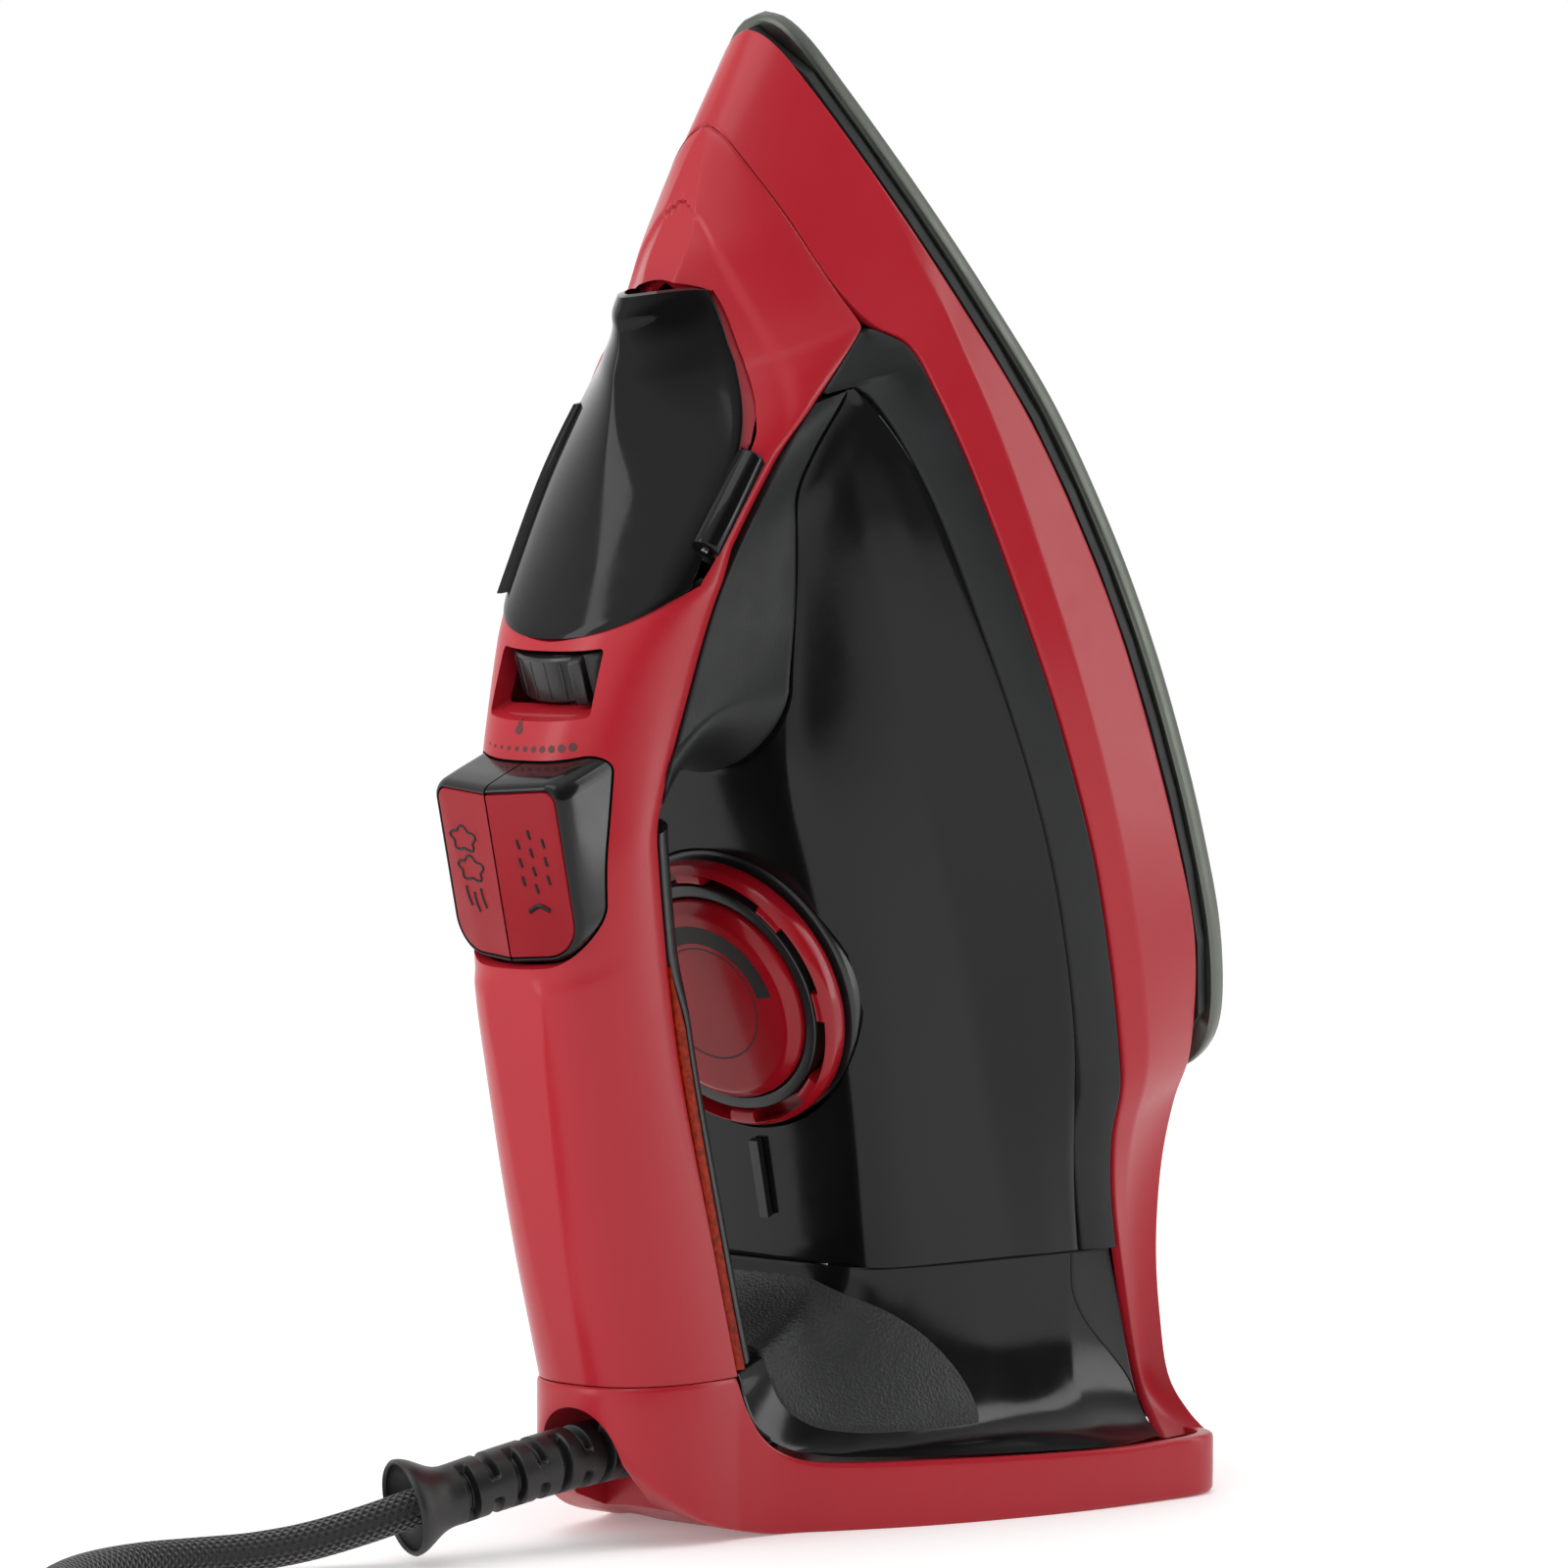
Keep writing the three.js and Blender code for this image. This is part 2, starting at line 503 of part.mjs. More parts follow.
function planSolid(half, low, high, inset = 0) {
  const full = [...half, ...half.slice(1, -1).reverse().map(([x, y]) => [x, -y])];
  const centre = 10;
  const shape = new THREE.Shape(full.map(([x, y]) => new THREE.Vector2(
    centre + (x - centre) * (1 - inset / 70), y - Math.sign(y) * Math.min(inset, Math.abs(y)))));
  return new THREE.ExtrudeGeometry(shape, { depth: high - low, bevelEnabled: false }).translate(0, 0, low);
}

function sideSolid(profile, halfWidth, lift = 0, shrink = 0) {
  const shape = new THREE.Shape(profile.map(([x, z]) => new THREE.Vector2(
    x + shrink * Math.sign(-x), z > 9 ? z : z + lift)));
  const geometry = new THREE.ExtrudeGeometry(shape, { depth: 2 * halfWidth, bevelEnabled: false });
  return geometry.rotateX(Math.PI / 2).translate(0, halfWidth, 0);
}

const box = (x0, x1, y0, y1, z0, z1) => new THREE.BoxGeometry(x1 - x0, y1 - y0, z1 - z0)
  .translate((x0 + x1) / 2, (y0 + y1) / 2, (z0 + z1) / 2);

/** A tunnel along X with a round top, open below. */
function arch(x0, x1, half, top) {
  const shape = new THREE.Shape([
    new THREE.Vector2(-half, -2), new THREE.Vector2(half, -2),
    ...steps(6, 0, Math.PI).map((t) => new THREE.Vector2(half * Math.cos(t), top - half + half * Math.sin(t))),
  ]);
  const geometry = new THREE.ExtrudeGeometry(shape, { depth: x1 - x0, bevelEnabled: false });
  return geometry.rotateX(Math.PI / 2).rotateZ(Math.PI / 2).translate(x0, 0, 0);
}

const CORD_EXIT = { x: -50, z: 18.5 };
const SCREWS = [[40, -38], [40, 38]];
const POCKET = { from: -80, to: -44, half: 9.5, top: 27.6 };

function heelBase() {
  const outer = common(planSolid(HEEL_PLAN, 0, 40), sideSolid(HEEL_SIDE, 80));
  const hollow = common(planSolid(HEEL_PLAN, 2.6, 40, 2.6), sideSolid(HEEL_SIDE.map(([x, z]) => [
    x < -26 && z < 31 ? x + 3 : x, z < 10 || x < -60 ? z + 2.6 : z + 20]), 80));
  const pocket = arch(POCKET.from, POCKET.to + 2.4, POCKET.half + 2.4, POCKET.top + 2.4);
  const notch = arch(POCKET.from - 2, POCKET.to, POCKET.half, POCKET.top);
  const guardHole = turned(rod(5.6, -5, 12), new THREE.Vector3(-44, 0, CORD_EXIT.z),
    new THREE.Vector3(1, 0, 0), 12);
  const screwHoles = SCREWS.map(([x, y]) => turned(rod(3.5, -1, 5), world(x, y, 0), world(0, 0, 1), 8));
  return cut(outer, cut(hollow, pocket), notch, guardHole, ...screwHoles);
}

/** The rear housing flares from the base's edge (t = 0) up to the tank's rear section (t = 1). */
const world = (x, y, z) => new THREE.Vector3(x, y, z);
const DECK_RIM = edge([
  world(59.2, -50.4, 11.6), world(40, -53.4, 12.2), world(22, -47.4, 12.8), world(6, -40.4, 13.4),
  world(-8, -33, 14), world(-18, -26.8, 14.8), world(-27, -21.8, 17.2), world(-33.6, -19.6, 22.2),
  world(-35.6, -18.6, 27.8), world(-37, -18, 32.8), world(-37.2, -9, 34.2), world(-37.2, 0, 34.8),
]);
const DECK_WALL = edge([
  world(54.6, -40.6, DECK_TOP), world(47, -38.6, DECK_TOP), world(31, -34.6, DECK_TOP), world(18, -31, DECK_TOP),
  world(7, -27, DECK_TOP), world(-1, -22.6, DECK_TOP), world(-3.4, -18, DECK_TOP), world(-4, 0, DECK_TOP),
]);

function deckPoint(t, rise, inset = 0) {
  const rim = DECK_RIM(t);
  const wall = DECK_WALL(t);
  const flat = 1 - (1 - rise) ** 2.1;
  const besideSkirt = 5.2 * Math.sin(Math.PI * rise ** 0.8) * Math.max(1 - 8 * t, 0);
  const x = mix(rim.x, wall.x, flat) + besideSkirt + inset * 0.5 * smooth((20 - rim.x) / 40);
  const y = Math.min(mix(rim.y, wall.y, flat) + inset, 0);
  return world(x, y, mix(rim.z, wall.z, rise ** 1.25) - inset * 0.8 * Math.sin(Math.PI * rise));
}

function rearHousing() {
  const rows = steps(17);
  const grid = (inset) => {
    const half = rows.map((t) => steps(5).map((v) => deckPoint(t, v, inset)));
    return [...half, ...half.slice(0, -1).reverse().map((row) => row.map(mirror))];
  };
  return sheet(grid(0), grid(WALL));
}

/** A saddle of soft plastic lying on the rear housing below the handle. */
function gripPad() {
  const rows = steps(9, 0.42, 1);
  const grid = (lift) => {
    const half = rows.map((t) => {
      const reach = Math.sin(Math.PI * Math.min((t - 0.4) / 0.9, 0.5)) ** 0.6;
      return steps(4).map((v) => deckPoint(t, 0.5 + (v - 0.5) * 0.62 * reach).add(world(-lift * 0.5, 0, lift)));
    });
    return [...half, ...half.slice(0, -1).reverse().map((row) => row.map(mirror))];
  };
  return sheet(grid(1.7), grid(0.8));
}

/** Closes the underside between the soleplate and the heel. */
function rearBottomCover() {
  const levels = [[14, 66.6], [24, 66], [40, 65], [56, 64.4], [70, 64.4], [82, 65.6]];
  const halfAt = through([[14, 43], [24, 40.6], [40, 39], [56, 38.6], [70, 39.4], [82, 42]]);
  const grid = (inset) => levels.map(([z, x]) => [-1, -0.5, 0, 0.5, 1].map((c) => world(
    x - inset, c * halfAt(z), z)));
  return sheet(grid(0), grid(2));
}

// ---------- the hot end ----------
function soleplate() {
  const holes = [];
  for (const l of steps(5, 122, 266)) {
    const reach = 49 * Math.sqrt(1 - ((l - 118) / 190) ** 2);
    holes.push(circle(-reach, l, 1.7, 5), circle(reach, l, 1.7, 5));
  }
  holes.push(circle(0, 240, 1.7, 5), circle(0, 285, 1.7, 5));
  const rim = plate(soleOutline(), 1.2, SOLE_THICK, holes);
  const face = plate(soleOutline(0.9), 0, 1.25, holes);
  return join(rim, face);
}

const soleSeal = () => cut(plate(soleOutline(1.3, 18), SOLE_THICK + 0.3, 7.4), plate(soleOutline(6, 18), 4, 8));
const BLOCK_TOP = 15;

function heaterBlock() {
  const block = plate(soleOutline(8.4, 16).filter(([, l]) => l < 288), SOLE_THICK + 0.3, BLOCK_TOP);
  const chamber = plate(roundedBox(0, 197, 19, 36, 8, 2), 8, 20);
  return cut(block, chamber);
}

const chamberCover = () => plate(roundedBox(0, 197, 22, 39, 9, 2), BLOCK_TOP + 0.3, BLOCK_TOP + 1.9,
  [circle(0, VALVE.along, 2.4, 8)]);

function heatingElement() {
  const rise = BLOCK_TOP + 4.6;
  const right = [[108, -22, rise + 2.6], [118, -27, rise], [145, -36, rise], [185, -38, rise], [222, -31.4, rise],
    [250, -19, rise], [263, -8, rise]];
  const path = new THREE.CatmullRomCurve3([
    ...right.map((p) => at(...p)), at(266, 0, rise), ...right.toReversed().map(([l, a, h]) => at(l, -a, h)),
  ]);
  return bar(path, 3.6, 7, 24);
}

// ---------- fill and spray ----------
const fillSpout = () => upright([
  [SPOUT_R - 1.6, SPOUT.foot], [SPOUT_R, SPOUT.foot], [SPOUT_R, SPOUT.top], [SPOUT_R - 1.6, SPOUT.top],
], SPOUT.along, 0, 16);

const NOZZLE_WAY = at(0.94, 0, 0.34);
const sprayNozzle = () => turned([
  [0, -12], [2.6, -12], [2.6, -3], [4.4, -2.4], [4.4, 3], [2, 3.6], [2, 1.6], [0, 1.6],
], at(NOZZLE.along, 0, NOZZLE.rise), NOZZLE_WAY, 12);

const tankFloor = () => plate(
  steps(7, 64, 240).map((l) => [-(tankHalf(l) - WALL - 3.4), l])
    .concat(steps(7, 240, 64).map((l) => [tankHalf(l) - WALL - 3.4, l])),
  27, 28.6,
  [circle(0, DIAL.along, 5.7, 10), circle(0, VALVE.along, 3, 8), circle(0, 96, 6, 8)]);

// ---------- thermostat and dial ----------
const dialPiece = (profile, sides) => upright(profile, DIAL.along, 0, sides);
const dialCollar = () => dialPiece([[27.6, 60], [30.2, 60], [30.2, 74.6], [28.8, 76], [4.4, 76], [4.4, 74], [27.6, 74]], 24);
const dialHub = () => dialPiece([
  [0, DIAL.face - 8.4], [24.2, DIAL.face - 8.4], [24.2, DIAL.face - 2.2], [DIAL.cap + 0.3, DIAL.face - 2.2],
  [DIAL.cap + 0.3, DIAL.face - 4.4], [0, DIAL.face - 4.4],
], 24);
const dialCap = () => dialPiece([
  [0, DIAL.face - 4], [DIAL.cap, DIAL.face - 4], [DIAL.cap, DIAL.face - 1.6], [DIAL.cap - 2, DIAL.face], [0, DIAL.face],
], 24);

function dialRing() {
  const ring = dialPiece(tube(24.5, DIAL.ring, DIAL.face - 8.2, DIAL.face - 2), 28);
  const notches = steps(7, 0, 2 * Math.PI * 0.875).map((turn) => {
    const notch = new THREE.BoxGeometry(4, 9, 3.2).translate(-(DIAL.face - 1.4), 0, DIAL.ring - 0.2);
    return notch.rotateX(turn).translate(0, 0, DIAL.along);
  });
  return cut(ring, ...notches);
}

const dialShaft = () => dialPiece(rod(3, 38.6, DIAL.face - 9), 10);
const thermostat = () => join(
  plate(roundedBox(0, DIAL.along, 11, 14, 3, 1), BLOCK_TOP + 0.4, 25.6),
  dialPiece(rod(5, 25, 38.2), 12),
);

/** A short rib on the body that the dial's marks are read against. */
const dialPointer = () => sheet(...[0, -1.5].map((down) => [[93, 83.9], [109, 81.9]].map(([l, rise]) => [
  at(l, -1.1, rise + down), at(l, 1.1, rise + down)])));
const thermalFuse = () => plate(roundedBox(0, 114, 10, 3, 1, 1), BLOCK_TOP + 0.3, 21);

// ---------- controls on the handle ----------
/** One half of the button pad in plan, on the given side of the centre seam. */
function padHalf(side, inset, low, high) {
  const whole = plate(roundedBox(0, PAD.along, PAD.half - inset, PAD.halfAlong - inset, 7 - inset), low, high);
  const keep = plate([[side * 0.2, 120], [side * 40, 120], [side * 40, 260], [side * 0.2, 260]], low - 1, high + 1);
  return common(whole, keep);
}

/** The pad's face: it falls towards the front and away from the seam. */
const FACE = { seam: 136, slope: 0.115, roof: 0.2 };
function faceCutter(side, lift) {
  const rise = (a, l) => FACE.seam + lift - (l - 172) * FACE.slope - Math.abs(a) * FACE.roof;
  const rows = [150, 225];
  const low = rows.map((l) => [0, side * 30].map((a) => at(l, a, rise(a, l))));
  return sheet(low, low.map((row) => row.map((p) => p.clone().add(at(0, 0, 40)))));
}

function buttonBody(side) {
  const body = padHalf(side, 0, 115, 145);
  const inlay = plate(roundedBox(0, PAD.along, PAD.half - 2.2, PAD.halfAlong - 2.4, 5.4), 100, 160);
  const deep = cut(inlay, sheet(...[-40, 0].map((h) => [150, 225].map((l) => [-30, 0, 30].map((a) => at(
    l, a, FACE.seam - 1.6 - (l - 172) * FACE.slope - Math.abs(a) * FACE.roof + h))))));
  return cut(body, faceCutter(side, 0), deep);
}

function buttonFace(side) {
  const whole = plate(roundedBox(0, PAD.along, PAD.half - 2.5, PAD.halfAlong - 2.7, 5.2), 112, 145);
  const half = common(whole, padHalf(side, 0, 100, 150));
  const under = sheet(...[-40, 0].map((h) => [150, 225].map((l) => [-30, 0, 30].map((a) => at(
    l, a, FACE.seam - 1.3 - (l - 172) * FACE.slope - Math.abs(a) * FACE.roof + h)))));
  return cut(half, faceCutter(side, 0.25), under);
}

const pump = (side) => upright([
  [PUMP.radius - 1.4, 71], [PUMP.radius, 71], [PUMP.radius, 97], [PUMP.radius - 1.4, 97],
], PUMP.along, side * PUMP.across, 12);
const plunger = (side) => upright([
  [0, 82], [PUMP.radius - 1.8, 82], [PUMP.radius - 1.8, 86], [1.5, 86], [1.5, 114.6], [0, 114.6],
], PUMP.along, side * PUMP.across, 8);

/** A return spring around the plunger, from the pump's mouth to the button. */
function returnSpring(side) {
  const turns = 3.5;
  const low = 98;
  const high = 113.8;
  const points = steps(turns * 6).map((t) => {
    const turn = 2 * Math.PI * turns * t;
    return at(PUMP.along + 3.4 * Math.cos(turn), side * PUMP.across + 3.4 * Math.sin(turn), mix(low, high, t));
  });
  return bar(new THREE.CatmullRomCurve3(points), 0.45, 4, turns * 8);
}

/** The slider's drum turns about an axis along the iron; a tab stands on its right end. */
const SLIDER = { radius: 15.6, rise: 92.4, from: SLOT.along - 4.7, to: SLOT.along + 4.4, swing: 56 };
function steamSlider() {
  const fan = [[0, 0], ...steps(12, -82, 82).map((d) => {
    const turn = THREE.MathUtils.degToRad(d - SLIDER.swing / 2);
    return [SLIDER.radius * Math.sin(turn), SLIDER.radius * Math.cos(turn)];
  })];
  const tabTurn = THREE.MathUtils.degToRad(-SLIDER.swing / 2);
  const spin = (geometry, turn) => geometry.translate(SLIDER.rise, 0, 0).rotateZ(-turn).translate(-SLIDER.rise, 0, 0);
  const shape = new THREE.Shape(fan.map(([a, h]) => new THREE.Vector2(-(SLIDER.rise + h), a)));
  const drum = new THREE.ExtrudeGeometry(shape, { depth: SLIDER.to - SLIDER.from, bevelEnabled: false })
    .translate(0, 0, SLIDER.from);
  const tab = spin(new THREE.BoxGeometry(8, 3.4, 8.8)
    .translate(-(SLIDER.rise + SLIDER.radius - 0.6), 0, SLOT.along), tabTurn);
  return join(drum, tab);
}

const valveRod = () => upright(rod(1.6, 17.6, 88), VALVE.along, 0, 8);

// ---------- inside the heel ----------
const terminalBlock = () => box(-26, -8, -10, 10, 18, 27);
const cordClamp = () => cut(box(-40.4, -33, -9, 9, 12, 25),
  turned(rod(4.2, -2, 12), world(-42, 0, CORD_EXIT.z), world(1, 0, 0), 12));

const heelScrew = ([x, y]) => turned([[0, 0], [1.4, 0], [1.4, 7.6], [3, 7.6], [3, 9.6], [0, 9.6]],
  world(x, y, 11.4), world(0, 0, -1), 8);

// ---------- the cord ----------
const FLOOR_LIE = CORD_R + 0.1;
const GUARD_PATH = new THREE.CatmullRomCurve3([
  world(-40.8, 0, 18.4), world(-50, 0, 18.4), world(-60, 0.6, 18), world(-71, 2.2, 17), world(-82, 5, 15.2),
  world(-92, 8.4, 13), world(-100, 12, 11.4),
]);
const GUARD_TUBE = { inside: CORD_R + 0.5, outside: 6.1, flare: 9.8 };

/** The guard: a sleeve along its path that opens like a trumpet at the end. */
function cordGuard() {
  const rows = steps(14);
  const frames = GUARD_PATH.computeFrenetFrames(14, false);
  const skin = (radiusAt) => steps(9, 0, 2 * Math.PI * 0.9).map((turn) => rows.map((t, i) => {
    const side = world(0, 0, 1).cross(frames.tangents[i]).normalize();
    const upward = frames.tangents[i].clone().cross(side);
    return GUARD_PATH.getPointAt(t).addScaledVector(side, radiusAt(t) * Math.cos(turn))
      .addScaledVector(upward, radiusAt(t) * Math.sin(turn));
  }));
  const flare = (t) => smooth((t - 0.84) / 0.16);
  return sheet(
    skin((t) => (t < 0.1 ? 5.2 : GUARD_TUBE.outside) + (GUARD_TUBE.flare - GUARD_TUBE.outside) * flare(t)),
    skin((t) => GUARD_TUBE.inside + (GUARD_TUBE.flare - 1 - GUARD_TUBE.inside) * flare(t)), true);
}

/** The coil: three turns side by side, in two layers, lying on its tie, with the plug on top. */
const COIL = { x: -240.9, y: 52, low: 0.95, wide: 3 * CORD_D, high: 2 * CORD_D };
const COIL_R = COIL_MEAN / 2;
const cordSolid = (points, segments) => bar(
  new THREE.CatmullRomCurve3(points.map((p) => world(...p))), CORD_R - 0.1, 8, segments);

const CORD_POINTS = [
  [-38, 0, 18.5], [-50, 0, 18.4], [-60, 0.6, 18], [-71, 2.2, 17], [-82, 5, 15.2], [-92, 8.4, 13],
  [-100, 12, 10.8], [-108, 17, 8.2], [-116, 23, 5.8], [-124, 29.6, 4.3], [-132, 35.6, FLOOR_LIE],
  [-142, 40, FLOOR_LIE], [-153, 41, FLOOR_LIE], [-164.5, 38.2, FLOOR_LIE],
  [-175.5, 31.6, FLOOR_LIE], [-186, 22.8, FLOOR_LIE], [-194.5, 15, 4.1], [-202, 9.4, 4.3], [-210.9, 6, 4.5],
];
const TAIL_POINTS = [
  [-274.2, 24, 20.2], [-276.5, 28.4, 20.6], [-278.1, 32.7, 20.9], [-279.1, 37.4, 21.2], [-279.4, 41.8, 21.4],
];
const cordCoil = () => turned(
  tube(COIL_R - COIL.wide / 2, COIL_R + COIL.wide / 2, COIL.low, COIL.low + COIL.high),
  world(COIL.x, COIL.y, 0), world(0, 0, 1), 32);

/** A flat band round the coil's section, on the side towards the iron. */
function cordTie() {
  const x = COIL.x + COIL_R;
  const halfWide = COIL.wide / 2;
  const band = (grow, half) => box(x - halfWide - grow - 0.7, x + halfWide + grow, COIL.y - half, COIL.y + half,
    COIL.low - grow, COIL.low + COIL.high + grow);
  return cut(band(0.85, 5), band(0.4, 8));
}

const PLUG = { x: -279.4, y: 42.2, length: 32, half: 11, low: 16.3, high: 31.2 };
function plugBody() {
  const shape = new THREE.Shape(roundedBox(0, (PLUG.low + PLUG.high) / 2, PLUG.half, (PLUG.high - PLUG.low) / 2, 4, 2)
    .map(([x, z]) => new THREE.Vector2(x, z)));
  return new THREE.ExtrudeGeometry(shape, { depth: PLUG.length, bevelEnabled: false })
    .rotateX(Math.PI / 2).translate(PLUG.x, PLUG.y + PLUG.length, 0);
}
const plugBlade = (dx) => box(PLUG.x + dx - 0.75, PLUG.x + dx + 0.75,
  PLUG.y + PLUG.length + 0.3, PLUG.y + PLUG.length + 17, PLUG.low + 4.3, PLUG.low + 10.6);

// ---------- the assembly ----------
add(iron, 'soleplate', soleplate(), STEEL);
add(iron, 'sole_seal', soleSeal(), MATTE_BLACK);
add(iron, 'heater_block', heaterBlock(), CAST);
add(iron, 'heating_element', heatingElement(), STEEL);
add(iron, 'steam_chamber_cover', chamberCover(), CAST);
add(iron, 'skirt', skirt(), RED);
add(standing, 'rear_bottom_cover', rearBottomCover(), MATTE_BLACK);
add(standing, 'heel_base', heelBase(), RED);
add(standing, 'rear_housing', rearHousing(), BLACK);
add(standing, 'heel_grip_pad', gripPad(), MATTE_BLACK);
add(iron, 'water_tank', waterTank(), SMOKED);
add(iron, 'tank_floor', tankFloor(), SMOKED);
add(iron, 'tank_trim_right', tankTrim(-1), MATTE_BLACK);
add(iron, 'tank_trim_left', tankTrim(1), MATTE_BLACK);
add(iron, 'front_pillar', frontPillar(), MATTE_BLACK);
add(iron, 'handle_cover', handleCover(), RED);
add(iron, 'handle_underside', handleUnderside(), BLACK);
add(iron, 'light_strip_right', lightStrip(-1), AMBER);
add(iron, 'light_strip_left', lightStrip(1), AMBER);
add(iron, 'lid_tray', lidTray(), RED);
add(iron, 'fill_spout', fillSpout(), BLACK);
add(iron, 'spray_nozzle', sprayNozzle(), BLACK);
add(iron, 'fill_lid', fillLid(), SMOKED);
add(iron, 'lid_hinge_pin', lidHingePin(), STEEL);
add(iron, 'steam_slider', steamSlider(), BLACK);
add(iron, 'steam_valve_rod', valveRod(), BRASS);
for (const [name, side] of [['steam', 1], ['spray', -1]]) {
  add(iron, `${name}_button`, buttonBody(side), BLACK);
  add(iron, `${name}_button_face`, buttonFace(side), RED);
  add(iron, `${name}_plunger`, plunger(side), WHITE);
  add(iron, `${name}_spring`, returnSpring(side), STEEL);
  add(iron, `${name}_pump`, pump(side), WHITE);
}
add(iron, 'dial_collar', dialCollar(), BLACK);
add(iron, 'dial_hub', dialHub(), BLACK);
add(iron, 'dial_cap', dialCap(), CLEAR_RED);
add(iron, 'dial_ring', dialRing(), CLEAR_RED);
add(iron, 'dial_shaft', dialShaft(), BRASS);
add(iron, 'dial_pointer', dialPointer(), MATTE_BLACK);
add(iron, 'thermostat', thermostat(), WHITE);
add(iron, 'thermal_fuse', thermalFuse(), WHITE);
add(standing, 'terminal_block', terminalBlock(), WHITE);
add(standing, 'cord_clamp', cordClamp(), WHITE);
add(standing, 'heel_screw_right', heelScrew(SCREWS[0]), STEEL);
add(standing, 'heel_screw_left', heelScrew(SCREWS[1]), STEEL);
add(standing, 'cord_guard', cordGuard(), CORD_BLACK);
add(standing, 'mains_cord', cordSolid(CORD_POINTS, 32), CORD_BLACK);
add(standing, 'cord_coil', cordCoil(), CORD_BLACK);
add(standing, 'cord_tail', cordSolid(TAIL_POINTS, 12), CORD_BLACK);
add(standing, 'cord_tie', cordTie(), MATTE_BLACK);
add(standing, 'plug', plugBody(), BLACK);
add(standing, 'plug_blade_1', plugBlade(-6.3), BRASS);
add(standing, 'plug_blade_2', plugBlade(6.3), BRASS);

// The origin is on the floor, under the middle of the iron without its cord.
const object = new THREE.Group();
object.add(standing);
standing.position.x = 8.885;

export default object;
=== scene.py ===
"""Looks of a corded steam iron standing on its heel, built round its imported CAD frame.

Sizes are millimetres in the iron's own terms: along runs up the sole from the floor, across is the
iron's left side when positive, rise is away from the sole. at() turns them into the CAD's floor
axes, and metres() turns those into the frame.
"""

import math

import bmesh
import bpy
import numpy as np
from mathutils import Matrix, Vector

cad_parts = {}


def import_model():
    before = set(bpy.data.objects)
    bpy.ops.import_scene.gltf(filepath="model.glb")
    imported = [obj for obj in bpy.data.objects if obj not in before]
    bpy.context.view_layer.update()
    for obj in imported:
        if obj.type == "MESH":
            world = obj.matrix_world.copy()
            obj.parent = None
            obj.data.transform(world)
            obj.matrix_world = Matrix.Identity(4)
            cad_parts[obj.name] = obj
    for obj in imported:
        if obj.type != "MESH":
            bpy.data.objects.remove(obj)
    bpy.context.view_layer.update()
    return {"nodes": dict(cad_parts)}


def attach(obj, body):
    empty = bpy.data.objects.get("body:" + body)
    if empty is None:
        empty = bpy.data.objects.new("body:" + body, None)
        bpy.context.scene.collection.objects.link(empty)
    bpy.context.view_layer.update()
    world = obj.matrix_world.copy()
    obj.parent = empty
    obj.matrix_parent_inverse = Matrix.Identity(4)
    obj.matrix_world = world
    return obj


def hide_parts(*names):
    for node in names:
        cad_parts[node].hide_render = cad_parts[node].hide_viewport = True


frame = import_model()
scene = bpy.context.scene
scene.view_settings.view_transform = "Standard"

# ---------- driving dimensions, as in the CAD ----------
LEAN = math.radians(20)
SOLE_X = 104.3
ORIGIN_X = 8.885
SOLE_HALF, SOLE_TIP, SOLE_MIDDLE, SOLE_THICK = 64.5, 318.5, 205, 4.6
GAP, WALL = 0.35, 2.3
HEEL_TOP, DECK_TOP = 32, 50
DIAL_ALONG, DIAL_FACE, DIAL_CAP, DIAL_RING = 140.5, 85, 21.3, 28.2
CORD_D = 7.5
SIN, COS = math.sin(LEAN), math.cos(LEAN)


# ---------- places ----------
def world(x, y, z):
    """A point of the CAD's floor axes, in millimetres."""
    return np.stack(np.broadcast_arrays(x, y, z), -1).astype(float)


def at(along, across, rise):
    along, across, rise = np.broadcast_arrays(along, across, rise)
    return world(SOLE_X - along * SIN - rise * COS, across, along * COS - rise * SIN)


UP = np.array([-COS, 0, -SIN])
LEFT = np.array([0.0, 1, 0])


def metres(points):
    return (np.asarray(points, float) + [ORIGIN_X, 0, 0]) / 1000


def unit(v):
    return v / np.linalg.norm(v)


def units(rows):
    return rows / np.linalg.norm(rows, axis=-1, keepdims=True)


def full_turn(sides):
    return np.linspace(0, 2 * math.pi, sides, endpoint=False)


# ---------- curves ----------
def smooth(t):
    t = np.clip(t, 0, 1)
    return t * t * (3 - 2 * t)


def mix(a, b, t):
    return a + (b - a) * t


def through(*pairs):
    """A smooth function through (x, y) pairs: cubic with the slopes of its neighbours."""
    xs, ys = (np.array(v, float) for v in zip(*pairs))
    before = np.r_[0, np.arange(len(xs) - 1)]
    after = np.r_[np.arange(1, len(xs)), len(xs) - 1]
    slopes = (ys[after] - ys[before]) / (xs[after] - xs[before])

    def value(x):
        x = np.clip(x, xs[0], xs[-1])
        i = np.clip(np.searchsorted(xs, x, side="right") - 1, 0, len(xs) - 2)
        d = xs[i + 1] - xs[i]
        t = (x - xs[i]) / d
        s = 1 - t
        return (ys[i] * s * s * (1 + 2 * t) + ys[i + 1] * t * t * (3 - 2 * t)
                + d * s * t * (slopes[i] * s - slopes[i + 1] * t))
    return value


